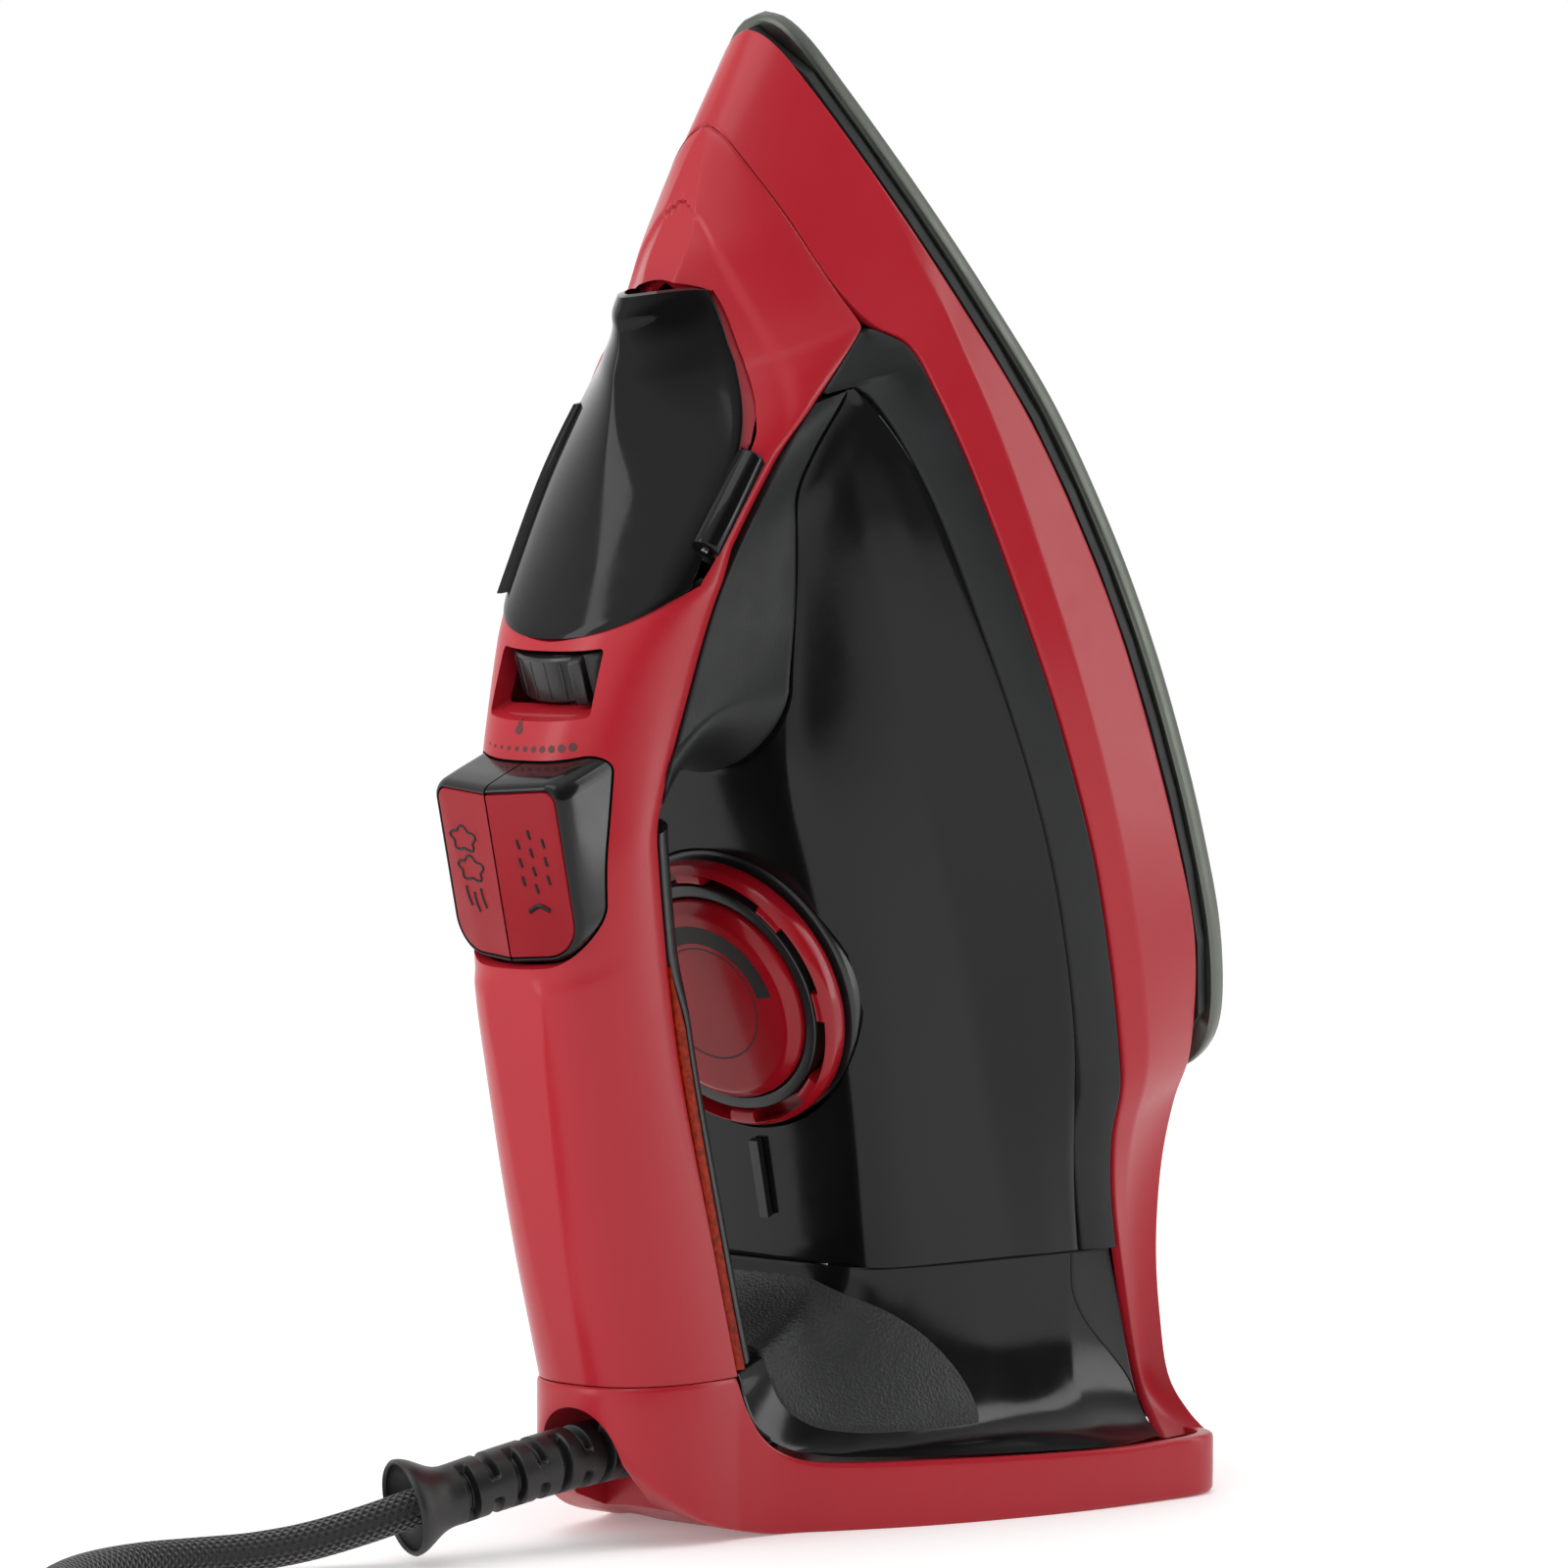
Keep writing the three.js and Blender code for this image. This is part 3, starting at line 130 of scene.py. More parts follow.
def spline(points, n=400):
    """n points evenly spaced along a centripetal Catmull-Rom curve."""
    p = np.asarray(points, float)
    p = np.vstack([2 * p[0] - p[1], p, 2 * p[-1] - p[-2]])
    out = []
    for a, b, c, d in zip(p[:-3], p[1:-2], p[2:-1], p[3:]):
        knots = [0]
        for start, end in ((a, b), (b, c), (c, d)):
            knots.append(knots[-1] + max(np.linalg.norm(end - start) ** 0.5, 1e-4))
        t0, t1, t2, t3 = knots
        t = np.linspace(t1, t2, 30, endpoint=False)[:, None]

        def blend(v, w, start, end):
            return (end - t) / (end - start) * v + (t - start) / (end - start) * w

        a1, a2, a3 = blend(a, b, t0, t1), blend(b, c, t1, t2), blend(c, d, t2, t3)
        out.append(blend(blend(a1, a2, t0, t2), blend(a2, a3, t1, t3), t1, t2))
    return even(np.vstack([*out, p[-2]]), n)


def even(line, n):
    """n points evenly spaced along a polyline."""
    run = np.r_[0, np.cumsum(np.linalg.norm(np.diff(line, axis=0), axis=1))]
    at_run = np.linspace(0, run[-1], n)
    return np.stack([np.interp(at_run, run, line[:, k]) for k in range(line.shape[1])], 1)


def edge(points):
    """A half outline as a function of 0 to 1 along its length."""
    line = spline(points, 1200)
    steps = np.linspace(0, 1, len(line))
    return lambda t: np.stack([np.interp(t, steps, line[:, k]) for k in range(3)], -1)


def mirrored(half):
    """Rows from the right side, over the middle, to the left side; the last row is the middle."""
    return np.concatenate([half, half[-2::-1] * [1, -1, 1]])


# ---------- meshes ----------
def eased(grid, rounds):
    """Evens out a grid of points along its rows, with its ends held."""
    grid = np.array(grid, float)
    for _ in range(rounds):
        grid[1:-1] += 0.25 * (grid[:-2] - 2 * grid[1:-1] + grid[2:])
    return grid


def placed(name, data):
    piece = bpy.data.objects.new(name, data)
    scene.collection.objects.link(piece)
    return piece


def mesh_object(name, vertices, faces, sharp=35):
    data = bpy.data.meshes.new(name)
    data.from_pydata([tuple(v) for v in metres(vertices)], [], faces)
    data.validate()
    work = bmesh.new()
    work.from_mesh(data)
    bmesh.ops.remove_doubles(work, verts=work.verts, dist=1e-6)
    bmesh.ops.recalc_face_normals(work, faces=work.faces)
    work.to_mesh(data)
    work.free()
    return shade(placed(name, data), sharp)


def shade(piece, sharp=35):
    piece.data.shade_smooth()
    piece.data.set_sharp_from_angle(angle=math.radians(sharp))
    return piece


def quads(rows, cols, start=0, wrap_rows=False, wrap_cols=False):
    r = np.arange(rows if wrap_rows else rows - 1)
    c = np.arange(cols if wrap_cols else cols - 1)
    r, c = np.meshgrid(r, c, indexing="ij")
    r1, c1 = (r + 1) % rows, (c + 1) % cols
    ids = np.stack([r * cols + c, r * cols + c1, r1 * cols + c1, r1 * cols + c], -1) + start
    return ids.reshape(-1, 4).tolist()


def sheet(name, outer, inner, sharp=35, rim=0.35):
    """A closed skin between an outer and an inner grid, with rounded rims."""
    outer, inner = np.asarray(outer), np.asarray(inner)
    toward = inner - outer
    size = np.maximum(np.linalg.norm(toward, axis=-1, keepdims=True), 1e-6)
    step = toward / size * np.minimum(rim, size / 3)

    def drawn_in(border, beside):
        way = beside - border
        return way / np.maximum(np.linalg.norm(way, axis=-1, keepdims=True), 1e-6) * rim

    first, last = outer[:, :1], outer[:, -1:]
    first_in, last_in = drawn_in(first, outer[:, 1:2]), drawn_in(last, outer[:, -2:-1])
    first_down, last_down = step[:, :1], step[:, -1:]
    grid = np.concatenate([
        first + first_in, outer[:, 1:-1], last + last_in,
        last + last_in * 0.3 + last_down * 0.3, last + last_down, inner[:, ::-1],
        first + first_down, first + first_in * 0.3 + first_down * 0.3], 1)
    rows, cols = grid.shape[:2]
    faces = quads(rows, cols, wrap_cols=True)
    n = outer.shape[1]
    for base in (0, (rows - 1) * cols):
        top = [base + i for i in range(n)]
        low = [base + 2 * n + 1 - i for i in range(n)]
        for i in range(n - 1):
            faces.append([top[i], top[i + 1], low[i + 1], low[i]])
        faces.append([top[0], low[0], base + 2 * n + 2, base + 2 * n + 3])
        faces.append([top[-1], base + n, base + n + 1, low[-1]])
    return mesh_object(name, grid.reshape(-1, 3), faces, sharp)


def swept(name, rows, line, wall, after=np.array, **shape):
    """A shell whose two skins have a line(row, inset) for every row; after finishes each grid."""
    skins = [after(np.array([line(row, inset) for row in rows])) for inset in (0, wall)]
    return sheet(name, *skins, **shape)


def loft(name, loops, sharp=35):
    """Closed loops of the same count, skinned in order, with flat ends."""
    loops = np.asarray(loops)
    rows, cols = loops.shape[:2]
    faces = quads(rows, cols, wrap_cols=True)
    faces += [list(range(cols))[::-1], [(rows - 1) * cols + i for i in range(cols)]]
    return mesh_object(name, loops.reshape(-1, 3), faces, sharp)


def band(name, loops, sharp=35):
    """A closed ring of loops, skinned all the way round in both directions."""
    loops = np.asarray(loops)
    faces = quads(*loops.shape[:2], wrap_rows=True, wrap_cols=True)
    return mesh_object(name, loops.reshape(-1, 3), faces, sharp)


def turned(name, profile, origin, axis, sides=96):
    """A turned solid: (radius, height) profile about an axis, closed when it ends off the axis."""
    axis = unit(np.asarray(axis, float))
    side = unit(np.cross(axis, [0, 1, 0] if abs(axis[1]) < 0.9 else [1, 0, 0]))
    other = np.cross(axis, side)
    turn = full_turn(sides)[:, None]
    ring = np.cos(turn) * side + np.sin(turn) * other
    grid = np.array([origin + r * ring + h * axis for r, h in profile])
    closed = profile[0][0] > 0 and profile[-1][0] > 0
    faces = quads(len(profile), sides, wrap_rows=closed, wrap_cols=True)
    return mesh_object(name, grid.reshape(-1, 3), faces)


def rounded(profile, radius=0.5):
    """A profile with its corners rounded off."""
    profile = [np.array(p, float) for p in profile]
    out = [profile[0]]
    for a, b, c in zip(profile, profile[1:], profile[2:]):
        d0, d1 = a - b, c - b
        l0, l1 = np.linalg.norm(d0), np.linalg.norm(d1)
        r = min(radius, 0.45 * l0, 0.45 * l1)
        p, q = b + d0 / l0 * r, b + d1 / l1 * r
        for t in np.linspace(0, 1, 4):
            out.append((1 - t) ** 2 * p + 2 * t * (1 - t) * b + t ** 2 * q)
    return [*out, profile[-1]]


def join(name, *pieces):
    """One object from several."""
    work = bmesh.new()
    for piece in pieces:
        work.from_mesh(piece.data)
        bpy.data.objects.remove(piece)
    data = bpy.data.meshes.new(name)
    work.to_mesh(data)
    work.free()
    return shade(placed(name, data))


def baked(piece, sharp=35):
    """The piece with its modifiers applied."""
    seen = piece.evaluated_get(bpy.context.evaluated_depsgraph_get())
    data = bpy.data.meshes.new_from_object(seen)
    piece.modifiers.clear()
    piece.data = data
    return shade(piece, sharp)


def cut(piece, *tools, sharp=35):
    for tool in tools:
        change = piece.modifiers.new("cut", "BOOLEAN")
        change.operation = "DIFFERENCE"
        change.solver = "EXACT"
        change.object = tool
    baked(piece, sharp)
    for tool in tools:
        bpy.data.objects.remove(tool)
    return piece


def bevelled(piece, width, segments=2, degrees=30):
    change = piece.modifiers.new("bevel", "BEVEL")
    change.width = width / 1000
    change.segments = segments
    change.limit_method = "ANGLE"
    change.angle_limit = math.radians(degrees)
    return piece


def rounded_box(a, l, half_a, half_l, radii, per_corner=8):
    """A rounded rectangle as (across, along) pairs; radii are those of its front and rear corners."""
    out = []
    for i, (sa, sl) in enumerate([(1, 1), (-1, 1), (-1, -1), (1, -1)]):
        r = radii[0] if sl > 0 else radii[1]
        turn = np.linspace(0, math.pi / 2, per_corner) + i * math.pi / 2
        across = a + sa * (half_a - r) + r * np.cos(turn)
        along = l + sl * (half_l - r) + r * np.sin(turn)
        out.append(np.stack([across, along], 1))
    return np.vstack(out)


def prism(name, outline, low, high):
    """A plan outline of (across, along) pairs between two rises."""
    outline = np.asarray(outline, float)
    return loft(name, [at(outline[:, 1], outline[:, 0], h) for h in (low, high)])


def tube(name, path, radius, sides=12, capped=True):
    """A round bar along a path of points, with u round it and v along it in metres."""
    path = np.asarray(path, float)
    tangent = units(np.gradient(path, axis=0))
    normal = np.cross(tangent[0], [0, 0, 1])
    if np.linalg.norm(normal) < 1e-3:
        normal = np.cross(tangent[0], [0, 1, 0])
    turn = full_turn(sides)[:, None]
    rings = []
    for p, t in zip(path, tangent):
        normal = unit(normal - np.dot(normal, t) * t)
        rings.append(p + radius * (np.cos(turn) * normal + np.sin(turn) * np.cross(t, normal)))
    faces = quads(len(path), sides, wrap_cols=True)
    if capped:
        faces += [list(range(sides))[::-1], [(len(path) - 1) * sides + i for i in range(sides)]]
    data = bpy.data.meshes.new(name)
    data.from_pydata([tuple(v) for v in metres(np.vstack(rings))], [], faces)
    run = np.r_[0, np.cumsum(np.linalg.norm(np.diff(path, axis=0), axis=1))]
    layer = data.uv_layers.new(name="uv")
    for face in data.polygons:
        columns = [v % sides for v in face.vertices]
        wraps = max(columns) - min(columns) > 1
        for loop, v, column in zip(face.loop_indices, face.vertices, columns):
            u = (column + (sides if wraps and column == 0 else 0)) / sides
            layer.data[loop].uv = (u, run[v // sides] / 1000)
    return shade(placed(name, data), 60)


# ---------- materials ----------
def tint(hexed):
    """A colour from its web code, as the shader's linear values."""
    c = np.array([int(hexed[i:i + 2], 16) / 255 for i in (0, 2, 4)])
    return np.where(c <= 0.04045, c / 12.92, ((c + 0.055) / 1.055) ** 2.4)


def new_material(name):
    made = bpy.data.materials.new(name)
    made.use_nodes = True
    nodes, links = made.node_tree.nodes, made.node_tree.links
    return made, nodes, links, nodes["Principled BSDF"]


def bumped(made, height, strength, depth=0.0003):
    """Turns a height into the surface's relief, on top of any that it has."""
    nodes, links = made.node_tree.nodes, made.node_tree.links
    normal = nodes["Principled BSDF"].inputs["Normal"]
    bump = nodes.new("ShaderNodeBump")
    bump.inputs["Strength"].default_value = strength
    bump.inputs["Distance"].default_value = depth
    links.new(height, bump.inputs["Height"])
    if normal.is_linked:
        links.new(normal.links[0].from_socket, bump.inputs["Normal"])
    links.new(bump.outputs["Normal"], normal)


def finish(name, hexed, roughness, grain=(900, 0.05), spread=0.06, shift=0.08, mottle=45, **sockets):
    """A moulded or machined surface: colour drifts, gloss varies and a fine grain breaks it up."""
    made, nodes, links, shader = new_material(name)
    for socket, value in sockets.items():
        title = socket.replace("_", " ").title().replace("Ior", "IOR")
        shader.inputs[title].default_value = value
    place = nodes.new("ShaderNodeTexCoord")

    def noise(scale, detail=3):
        node = nodes.new("ShaderNodeTexNoise")
        node.inputs["Scale"].default_value = scale
        node.inputs["Detail"].default_value = detail
        links.new(place.outputs["Object"], node.inputs["Vector"])
        return node.outputs["Fac"]

    ramp = nodes.new("ShaderNodeValToRGB")
    color = tint(hexed)
    for element, factor in zip(ramp.color_ramp.elements, (1 - shift, 1 + shift)):
        element.color = (*np.clip(color * factor, 0, 1), 1)
    ramp.color_ramp.elements[0].position = 0.35
    ramp.color_ramp.elements[1].position = 0.65
    links.new(noise(mottle), ramp.inputs["Fac"])
    links.new(ramp.outputs["Color"], shader.inputs["Base Color"])
    gloss = nodes.new("ShaderNodeMapRange")
    gloss.inputs["From Min"].default_value = 0.3
    gloss.inputs["From Max"].default_value = 0.7
    gloss.inputs["To Min"].default_value = max(roughness - spread, 0.02)
    gloss.inputs["To Max"].default_value = roughness + spread
    links.new(noise(170, 5), gloss.inputs["Value"])
    links.new(gloss.outputs["Result"], shader.inputs["Roughness"])
    bumped(made, noise(grain[0], 4), grain[1])
    return made


def pebbled(made, scale=1500, strength=0.5):
    """Adds the cells of a moulded leather-like grain to a finish."""
    nodes, links = made.node_tree.nodes, made.node_tree.links
    place = next(n for n in nodes if n.type == "TEX_COORD")
    cells = nodes.new("ShaderNodeTexVoronoi")
    cells.inputs["Scale"].default_value = scale
    links.new(place.outputs["Object"], cells.inputs["Vector"])
    bumped(made, cells.outputs["Distance"], strength)
    return made


def braided(name, hexed, round_count=12, per_metre=620):
    """A textile braid: two families of strands cross at an angle round the cord."""
    made, nodes, links, shader = new_material(name)
    shader.inputs["Roughness"].default_value = 0.75
    shader.inputs["Sheen Weight"].default_value = 0.35
    shader.inputs["Sheen Roughness"].default_value = 0.4
    place = nodes.new("ShaderNodeTexCoord")
    split = nodes.new("ShaderNodeSeparateXYZ")
    links.new(place.outputs["UV"], split.inputs["Vector"])

    def worked(operation, *terms):
        node = nodes.new("ShaderNodeMath")
        node.operation = operation
        for socket, term in zip(node.inputs, terms):
            if isinstance(term, (int, float)):
                socket.default_value = term
            else:
                links.new(term, socket)
        return node.outputs[0]

    round_it = worked("MULTIPLY", split.outputs["X"], 2 * math.pi * round_count)
    along_it = worked("MULTIPLY", split.outputs["Y"], 2 * math.pi * per_metre)
    strands = [worked("SINE", worked(way, round_it, along_it)) for way in ("ADD", "SUBTRACT")]
    height = worked("MAXIMUM", *strands)
    bumped(made, height, 0.9, 0.0004)
    # Painted shade and highlight: the braid's colour darkens in the grooves between strands and lightens
    # on their crests, following the bump height.
    ramp = nodes.new("ShaderNodeValToRGB")
    for element, factor in zip(ramp.color_ramp.elements, (0.35, 1.5)):
        element.color = (*(tint(hexed) * factor), 1)
    links.new(worked("MULTIPLY", height, 0.9), ramp.inputs["Fac"])
    links.new(ramp.outputs["Color"], shader.inputs["Base Color"])
    return made


RED = finish("red_satin", "a81d29", 0.3, grain=(2600, 0.05), spread=0.025, shift=0.025, mottle=12,
             coat_weight=0.12, coat_roughness=0.18, specular_ior_level=0.28)
DEEP_RED = finish("red_button", "8c151f", 0.4, grain=(3200, 0.14), shift=0.04, specular_ior_level=0.2)
CLEAR_RED = finish("clear_red", "940d1a", 0.2, grain=(600, 0.02), spread=0.04, coat_weight=0.12,
                   coat_roughness=0.06, specular_ior_level=0.26)
GLOSS = finish("gloss_black", "101011", 0.14, grain=(500, 0.02), spread=0.03, specular_ior_level=0.28)
SMOKED = finish("smoked_black", "0b0b0c", 0.1, grain=(400, 0.015), spread=0.03,
                specular_ior_level=0.24)
SATIN = finish("satin_black", "18191a", 0.34, grain=(2600, 0.1), coat_weight=0.1)
MATTE = finish("matte_black", "1b1c1d", 0.42, grain=(2800, 0.14), spread=0.04, specular_ior_level=0.3)
GRIP = pebbled(finish("grip_grain", "1c1d1e", 0.5, grain=(3000, 0.2)))
AMBER = finish("amber_clear", "862005", 0.3, grain=(1500, 0.5), shift=0.4, mottle=900,
               specular_ior_level=0.12)
MARK = finish("printed_mark", "4a1013", 0.5)
MARK_BLACK = finish("dial_mark", "160708", 0.4, specular_ior_level=0.3)
SOLE = finish("sole_metal", "62665f", 0.36, grain=(2600, 0.02), spread=0.04, shift=0.03, metallic=1.0)
STEEL = finish("dark_steel", "77797b", 0.3, metallic=1.0)
CAST = finish("cast_metal", "8b8e90", 0.55, grain=(900, 0.4), metallic=1.0)
BRASS = finish("brass", "b99a55", 0.3, metallic=1.0)
PALE = finish("pale_plastic", "dcd8cf", 0.5)
RUBBER = finish("guard_rubber", "101011", 0.42, grain=(2600, 0.16))
BRAID = braided("black_braid", "1a1a1b")
FLOOR = finish("floor", "fafafa", 0.8, grain=(40, 0.0), shift=0.0, emission_strength=0.2,
               emission_color=(1, 1, 1, 1), specular_ior_level=0.1)


def dress(piece, material, body="iron", replaces=()):
    """The last step of a piece: its material, the body it rides on and the nodes it stands for."""
    piece.data.materials.clear()
    piece.data.materials.append(material)
    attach(piece, body)
    if replaces:
        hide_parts(*replaces)
    return piece


# ---------- camera ----------
camera = placed("camera", bpy.data.cameras.new("camera"))
scene.camera = camera
AIM = metres([0, 0, 145.3])
AZIMUTH, ELEVATION, DISTANCE = math.radians(51), math.radians(3.5), 1.3
BACK = Vector((
    -math.sin(AZIMUTH) * math.cos(ELEVATION), -math.cos(AZIMUTH) * math.cos(ELEVATION),
    math.sin(ELEVATION)))
camera.location = Vector(AIM) + BACK * DISTANCE
camera.rotation_euler = BACK.to_track_quat("Z", "Y").to_euler()
camera.data.lens = 149.2
camera.data.sensor_width = 36
camera.data.clip_end = 20

# ---------- the cord ----------
LYING = 3.85
EXIT_POINT = (-50, 0, 18.4)
FIRST_BEND = [EXIT_POINT, (-60, 0.6, 18), (-71, 2.2, 17), (-82, 5, 15.2), (-92, 8.4, 13)]
CORD_POINTS = [
    (-38, 0, 18.5), *FIRST_BEND, (-100, 12, 10.8), (-108, 17, 8.2), (-116, 23, 5.8),
    (-124, 29.6, 4.3), (-132, 35.6, LYING), (-142, 40, LYING), (-153, 41, LYING),
    (-164.5, 38.2, LYING), (-175.5, 31.6, LYING), (-186, 22.8, LYING), (-194.5, 15, 4.1),
    (-202, 9.4, 4.3), (-210.9, 6, 4.5),
]
TAIL_POINTS = [
    (-250.9, 7.2, 12.6), (-260.2, 10.8, 14.6), (-268.1, 16.5, 17.6), (-274.2, 24, 20.2),
    (-278.1, 32.7, 20.9), (-279.4, 42.2, 21.4),
]
COIL_X, COIL_Y, COIL_LOW, COIL_MEAN = -240.9, 52, 0.95, 77
PLUG_X, PLUG_Y, PLUG_LOW = -279.4, 42.2, 16.3
RADII = [COIL_MEAN / 2 + k * CORD_D for k in (1, 0, -1, -1, 0, 1)]


def coil_points(per_turn=60):
    """Three turns beside each other on the floor, inwards, and three on top of them, outwards."""
    out = []
    for lap in range(6):
        for i in range(per_turn):
            part = i / per_turn
            shifted = smooth((part - 0.5) / 0.5) if lap < 3 else smooth(part / 0.45)
            radius = mix(RADII[lap], RADII[min(lap + 1, 5)], shifted)
            layer = 0 if lap < 2 else smooth((part - 0.25) / 0.35) if lap == 2 else 1
            turn = -math.pi / 2 - 2 * math.pi * part
            out.append((COIL_X + radius * math.cos(turn), COIL_Y + radius * math.sin(turn),
                        COIL_LOW + CORD_D * (0.5 + layer)))
    return [*out, (COIL_X, COIL_Y - RADII[5], COIL_LOW + CORD_D * 1.5)]


route = even(spline([*CORD_POINTS, *coil_points(), *TAIL_POINTS], 4000), 1300)
cord = tube("cord", route, CORD_D / 2 - 0.05, sides=16)
dress(cord, BRAID, replaces=("mains_cord", "cord_coil", "cord_tail"))


def cord_guard():
    """A ribbed sleeve: gaps run round it, bridged at alternating sides, and it opens like a trumpet."""
    bore, groove, pitch, sides = 4.1, 1.9, 5.2, 72
    path = spline([(-41.2, 0, 18.4), *FIRST_BEND, (-100, 12, 11.4)], 420)
    run = np.linspace(0, 1, len(path))
    length = np.linalg.norm(np.diff(path, axis=0), axis=1).sum()
    turn = full_turn(sides)
    flare = smooth((run - 0.84) / 0.16)
    body = 6.4 - 0.5 * run + 3.6 * flare ** 1.4
    body = np.where(run < 0.05, 5.2, body)
    phase = run * length / pitch
    ring_gap = np.clip(1 - np.abs((phase % 1) - 0.5) / 0.24, 0, 1)
    ring_gap = smooth(ring_gap * 2.2) * (run > 0.08) * (run < 0.83)
    bridge = np.cos(2 * (turn[None, :] - np.floor(phase)[:, None] % 2 * math.pi / 2))
    open_here = smooth((0.8 - bridge) / 0.12)
    radius = body[:, None] - groove * ring_gap[:, None] * open_here
    tangent = units(np.gradient(path, axis=0))
    side = units(np.cross([0, 0, 1], tangent))
    upward = np.cross(tangent, side)
    ring = np.cos(turn)[None, :, None] * side[:, None] + np.sin(turn)[None, :, None] * upward[:, None]
    outer = path[:, None] + ring * radius[..., None]
    inner_radius = bore + (body[-1] - 1.0 - bore) * smooth((run - 0.86) / 0.14) ** 1.3
    inner = path[:, None] + ring * inner_radius[:, None, None]
    lip = path[-1:, None] + ring[-1:] * (body[-1] - 0.45) + tangent[-1] * 0.5
    return band("ribbed_guard", np.concatenate([outer, lip, inner[::-1]]), 50)


guard = dress(cord_guard(), RUBBER, replaces=("cord_guard",))


def plug():
    """A moulded plug whose sides pull in towards the cord."""
    sections = (
        (0, 5.2, 0.9, 10.6), (0.6, 5.8, 0.5, 11.2), (6, 6.6, 0.3, 12.2), (9, 8.6, 0.15, 13.4),
        (13, 10.4, 0.1, 14.6), (20, 11, 0.1, 15), (28, 10.9, 0.1, 14.9), (31.2, 10.7, 0.2, 14.7),
        (32, 10.1, 0.8, 14.1))
    loops = []
    for run, half, low, high in sections:
        outline = rounded_box(0, (low + high) / 2, half, (high - low) / 2, (min(half, 4.2),) * 2)
        loops.append(world(PLUG_X + outline[:, 0], PLUG_Y + run, PLUG_LOW + outline[:, 1]))
    return loft("moulded_plug", loops, 40)


plug_piece = dress(plug(), RUBBER, replaces=("plug",))


def cord_tie():
    """A soft band round the coil."""
    x, middle = COIL_X + COIL_MEAN / 2, COIL_LOW + CORD_D
    outline = rounded_box(x, middle, 1.5 * CORD_D + 0.75, CORD_D + 0.75, (3, 3))
    hollow = rounded_box(x - 0.3, middle, 1.5 * CORD_D + 0.45, CORD_D + 0.2, (2.4, 2.4))
    rows = ((-4.6, outline), (-5, hollow), (5, hollow), (4.6, outline))
    loops = [world(o[:, 0], COIL_Y + y, np.maximum(o[:, 1], 0.1)) for y, o in rows]
    return band("tie_band", loops, 40)


tie = dress(cord_tie(), SATIN, replaces=("cord_tie",))

# ---------- the outlines of the body ----------
SOLE_EDGE = edge([(l, -w, 0) for l, w in (
    (91.5, 0), (91.5, 22), (91.8, 40), (93.5, 50), (98.5, 56), (105, 59.6), (123, 63.6), (145, SOLE_HALF),
    (162, 64), (185, 62), (208, 58), (235, 50.4), (258, 40), (280, 28.6), (303, 15.2), (313.5, 8.4),
    (317.4, 4), (SOLE_TIP, 0))])
SKIRT_FOOT = edge([
    (21.8, -54, 27.2), (26, -50.5, 27.2), (33, -46.8, 26.6), (46, -45, 23), (60, -44.5, 18.6),
    (76, -45.6, 12.4), (88, -49, 8.6), (98, -54.6, 7.8), (123, -62, 7.8), (145, -63, 7.8),
    (185, -60.6, 7.8), (208, -56.6, 7.8), (235, -49, 7.8), (258, -38.6, 7.8), (280, -27.2, 7.8),
    (303, -13.6, 7.8), (313, -6.6, 7.8), (316, -3, 7.8), (317, 0, 7.8)])
SKIRT_TOP = edge([
    (25.4, -51.2, 37.6), (29, -46.5, 34), (35, -43, 31.5), (57.7, -42.6, 29), (76, -45, 29),
    (89, -48.4, 29), (102.5, -54, 29), (113.5, -56, 29), (145.6, -59, 29), (173, -58.4, 29),
    (197.7, -55.6, 29), (230, -48.6, 27.2), (247, -41.6, 24.6), (256.5, -36, 23.4), (261.5, -31, 26.6),
    (270.5, -24.4, 28), (285.7, -16, 28), (296, -9, 27.8), (302, -3.6, 27), (303.6, 0, 26.2)])
cover_half = through(
    (60, 19.5), (84, 19), (110, 18.5), (190, 18.6), (210, 20), (228, 23.6), (246, 27.8), (258, 29.7),
    (261.4, 30), (262.3, 29.9), (263, 29.3), (270.5, 24.2), (285.7, 15.9), (296, 9), (301, 4.6),
    (303.2, 0.6))
cover_foot = through(
    (60, 124), (84, 122.5), (110, 120), (150, 115), (184, 108), (190, 105.5), (210, 90.4), (228, 77.5),
    (246, 57), (257, 38), (261.5, 30.2), (262.3, 29.1), (263.2, 28.8), (270, 28.4), (285.7, 28.4),
    (296, 28.2), (301, 27.4), (303.2, 26.7))
crest = through(
    (60, 149.5), (90, 147.8), (115, 146), (140, 142.5), (172, 136.5), (190, 129), (206, 120.5),
    (212, 116.4), (218, 111.6), (227, 103.6), (240, 89.5), (256, 74), (270, 61), (281, 50), (289, 41.3),
    (303.2, 27.3))
squareness = through((84, 2.5), (190, 2.7), (222, 2.6), (240, 1.9), (262, 1.45), (303, 1.35))


HANDLE_BASE, TANK_BASE = 148, 29


def shift(along, rise, base):
    """How far the rear rows lean about a base rise, until they lie level with the floor."""
    return math.tan(LEAN) * smooth((150 - along) / 62) * (rise - base)


# ---------- the handle cover ----------
facet = through(
    (60, 0), (100, 0.006), (150, 0.022), (166, 0.03), (169, 0), (262, 0.0), (276, 0.06), (284, 0.15),
    (300, 0.16), (303, 0.1))
scoop_half = through(
    (222, 17), (228, 24.6), (234, 27.6), (250, 29), (258, 26.2), (266, 20.6), (276, 14.4), (284, 9.6),
    (289, 5.4), (292, 0.2))


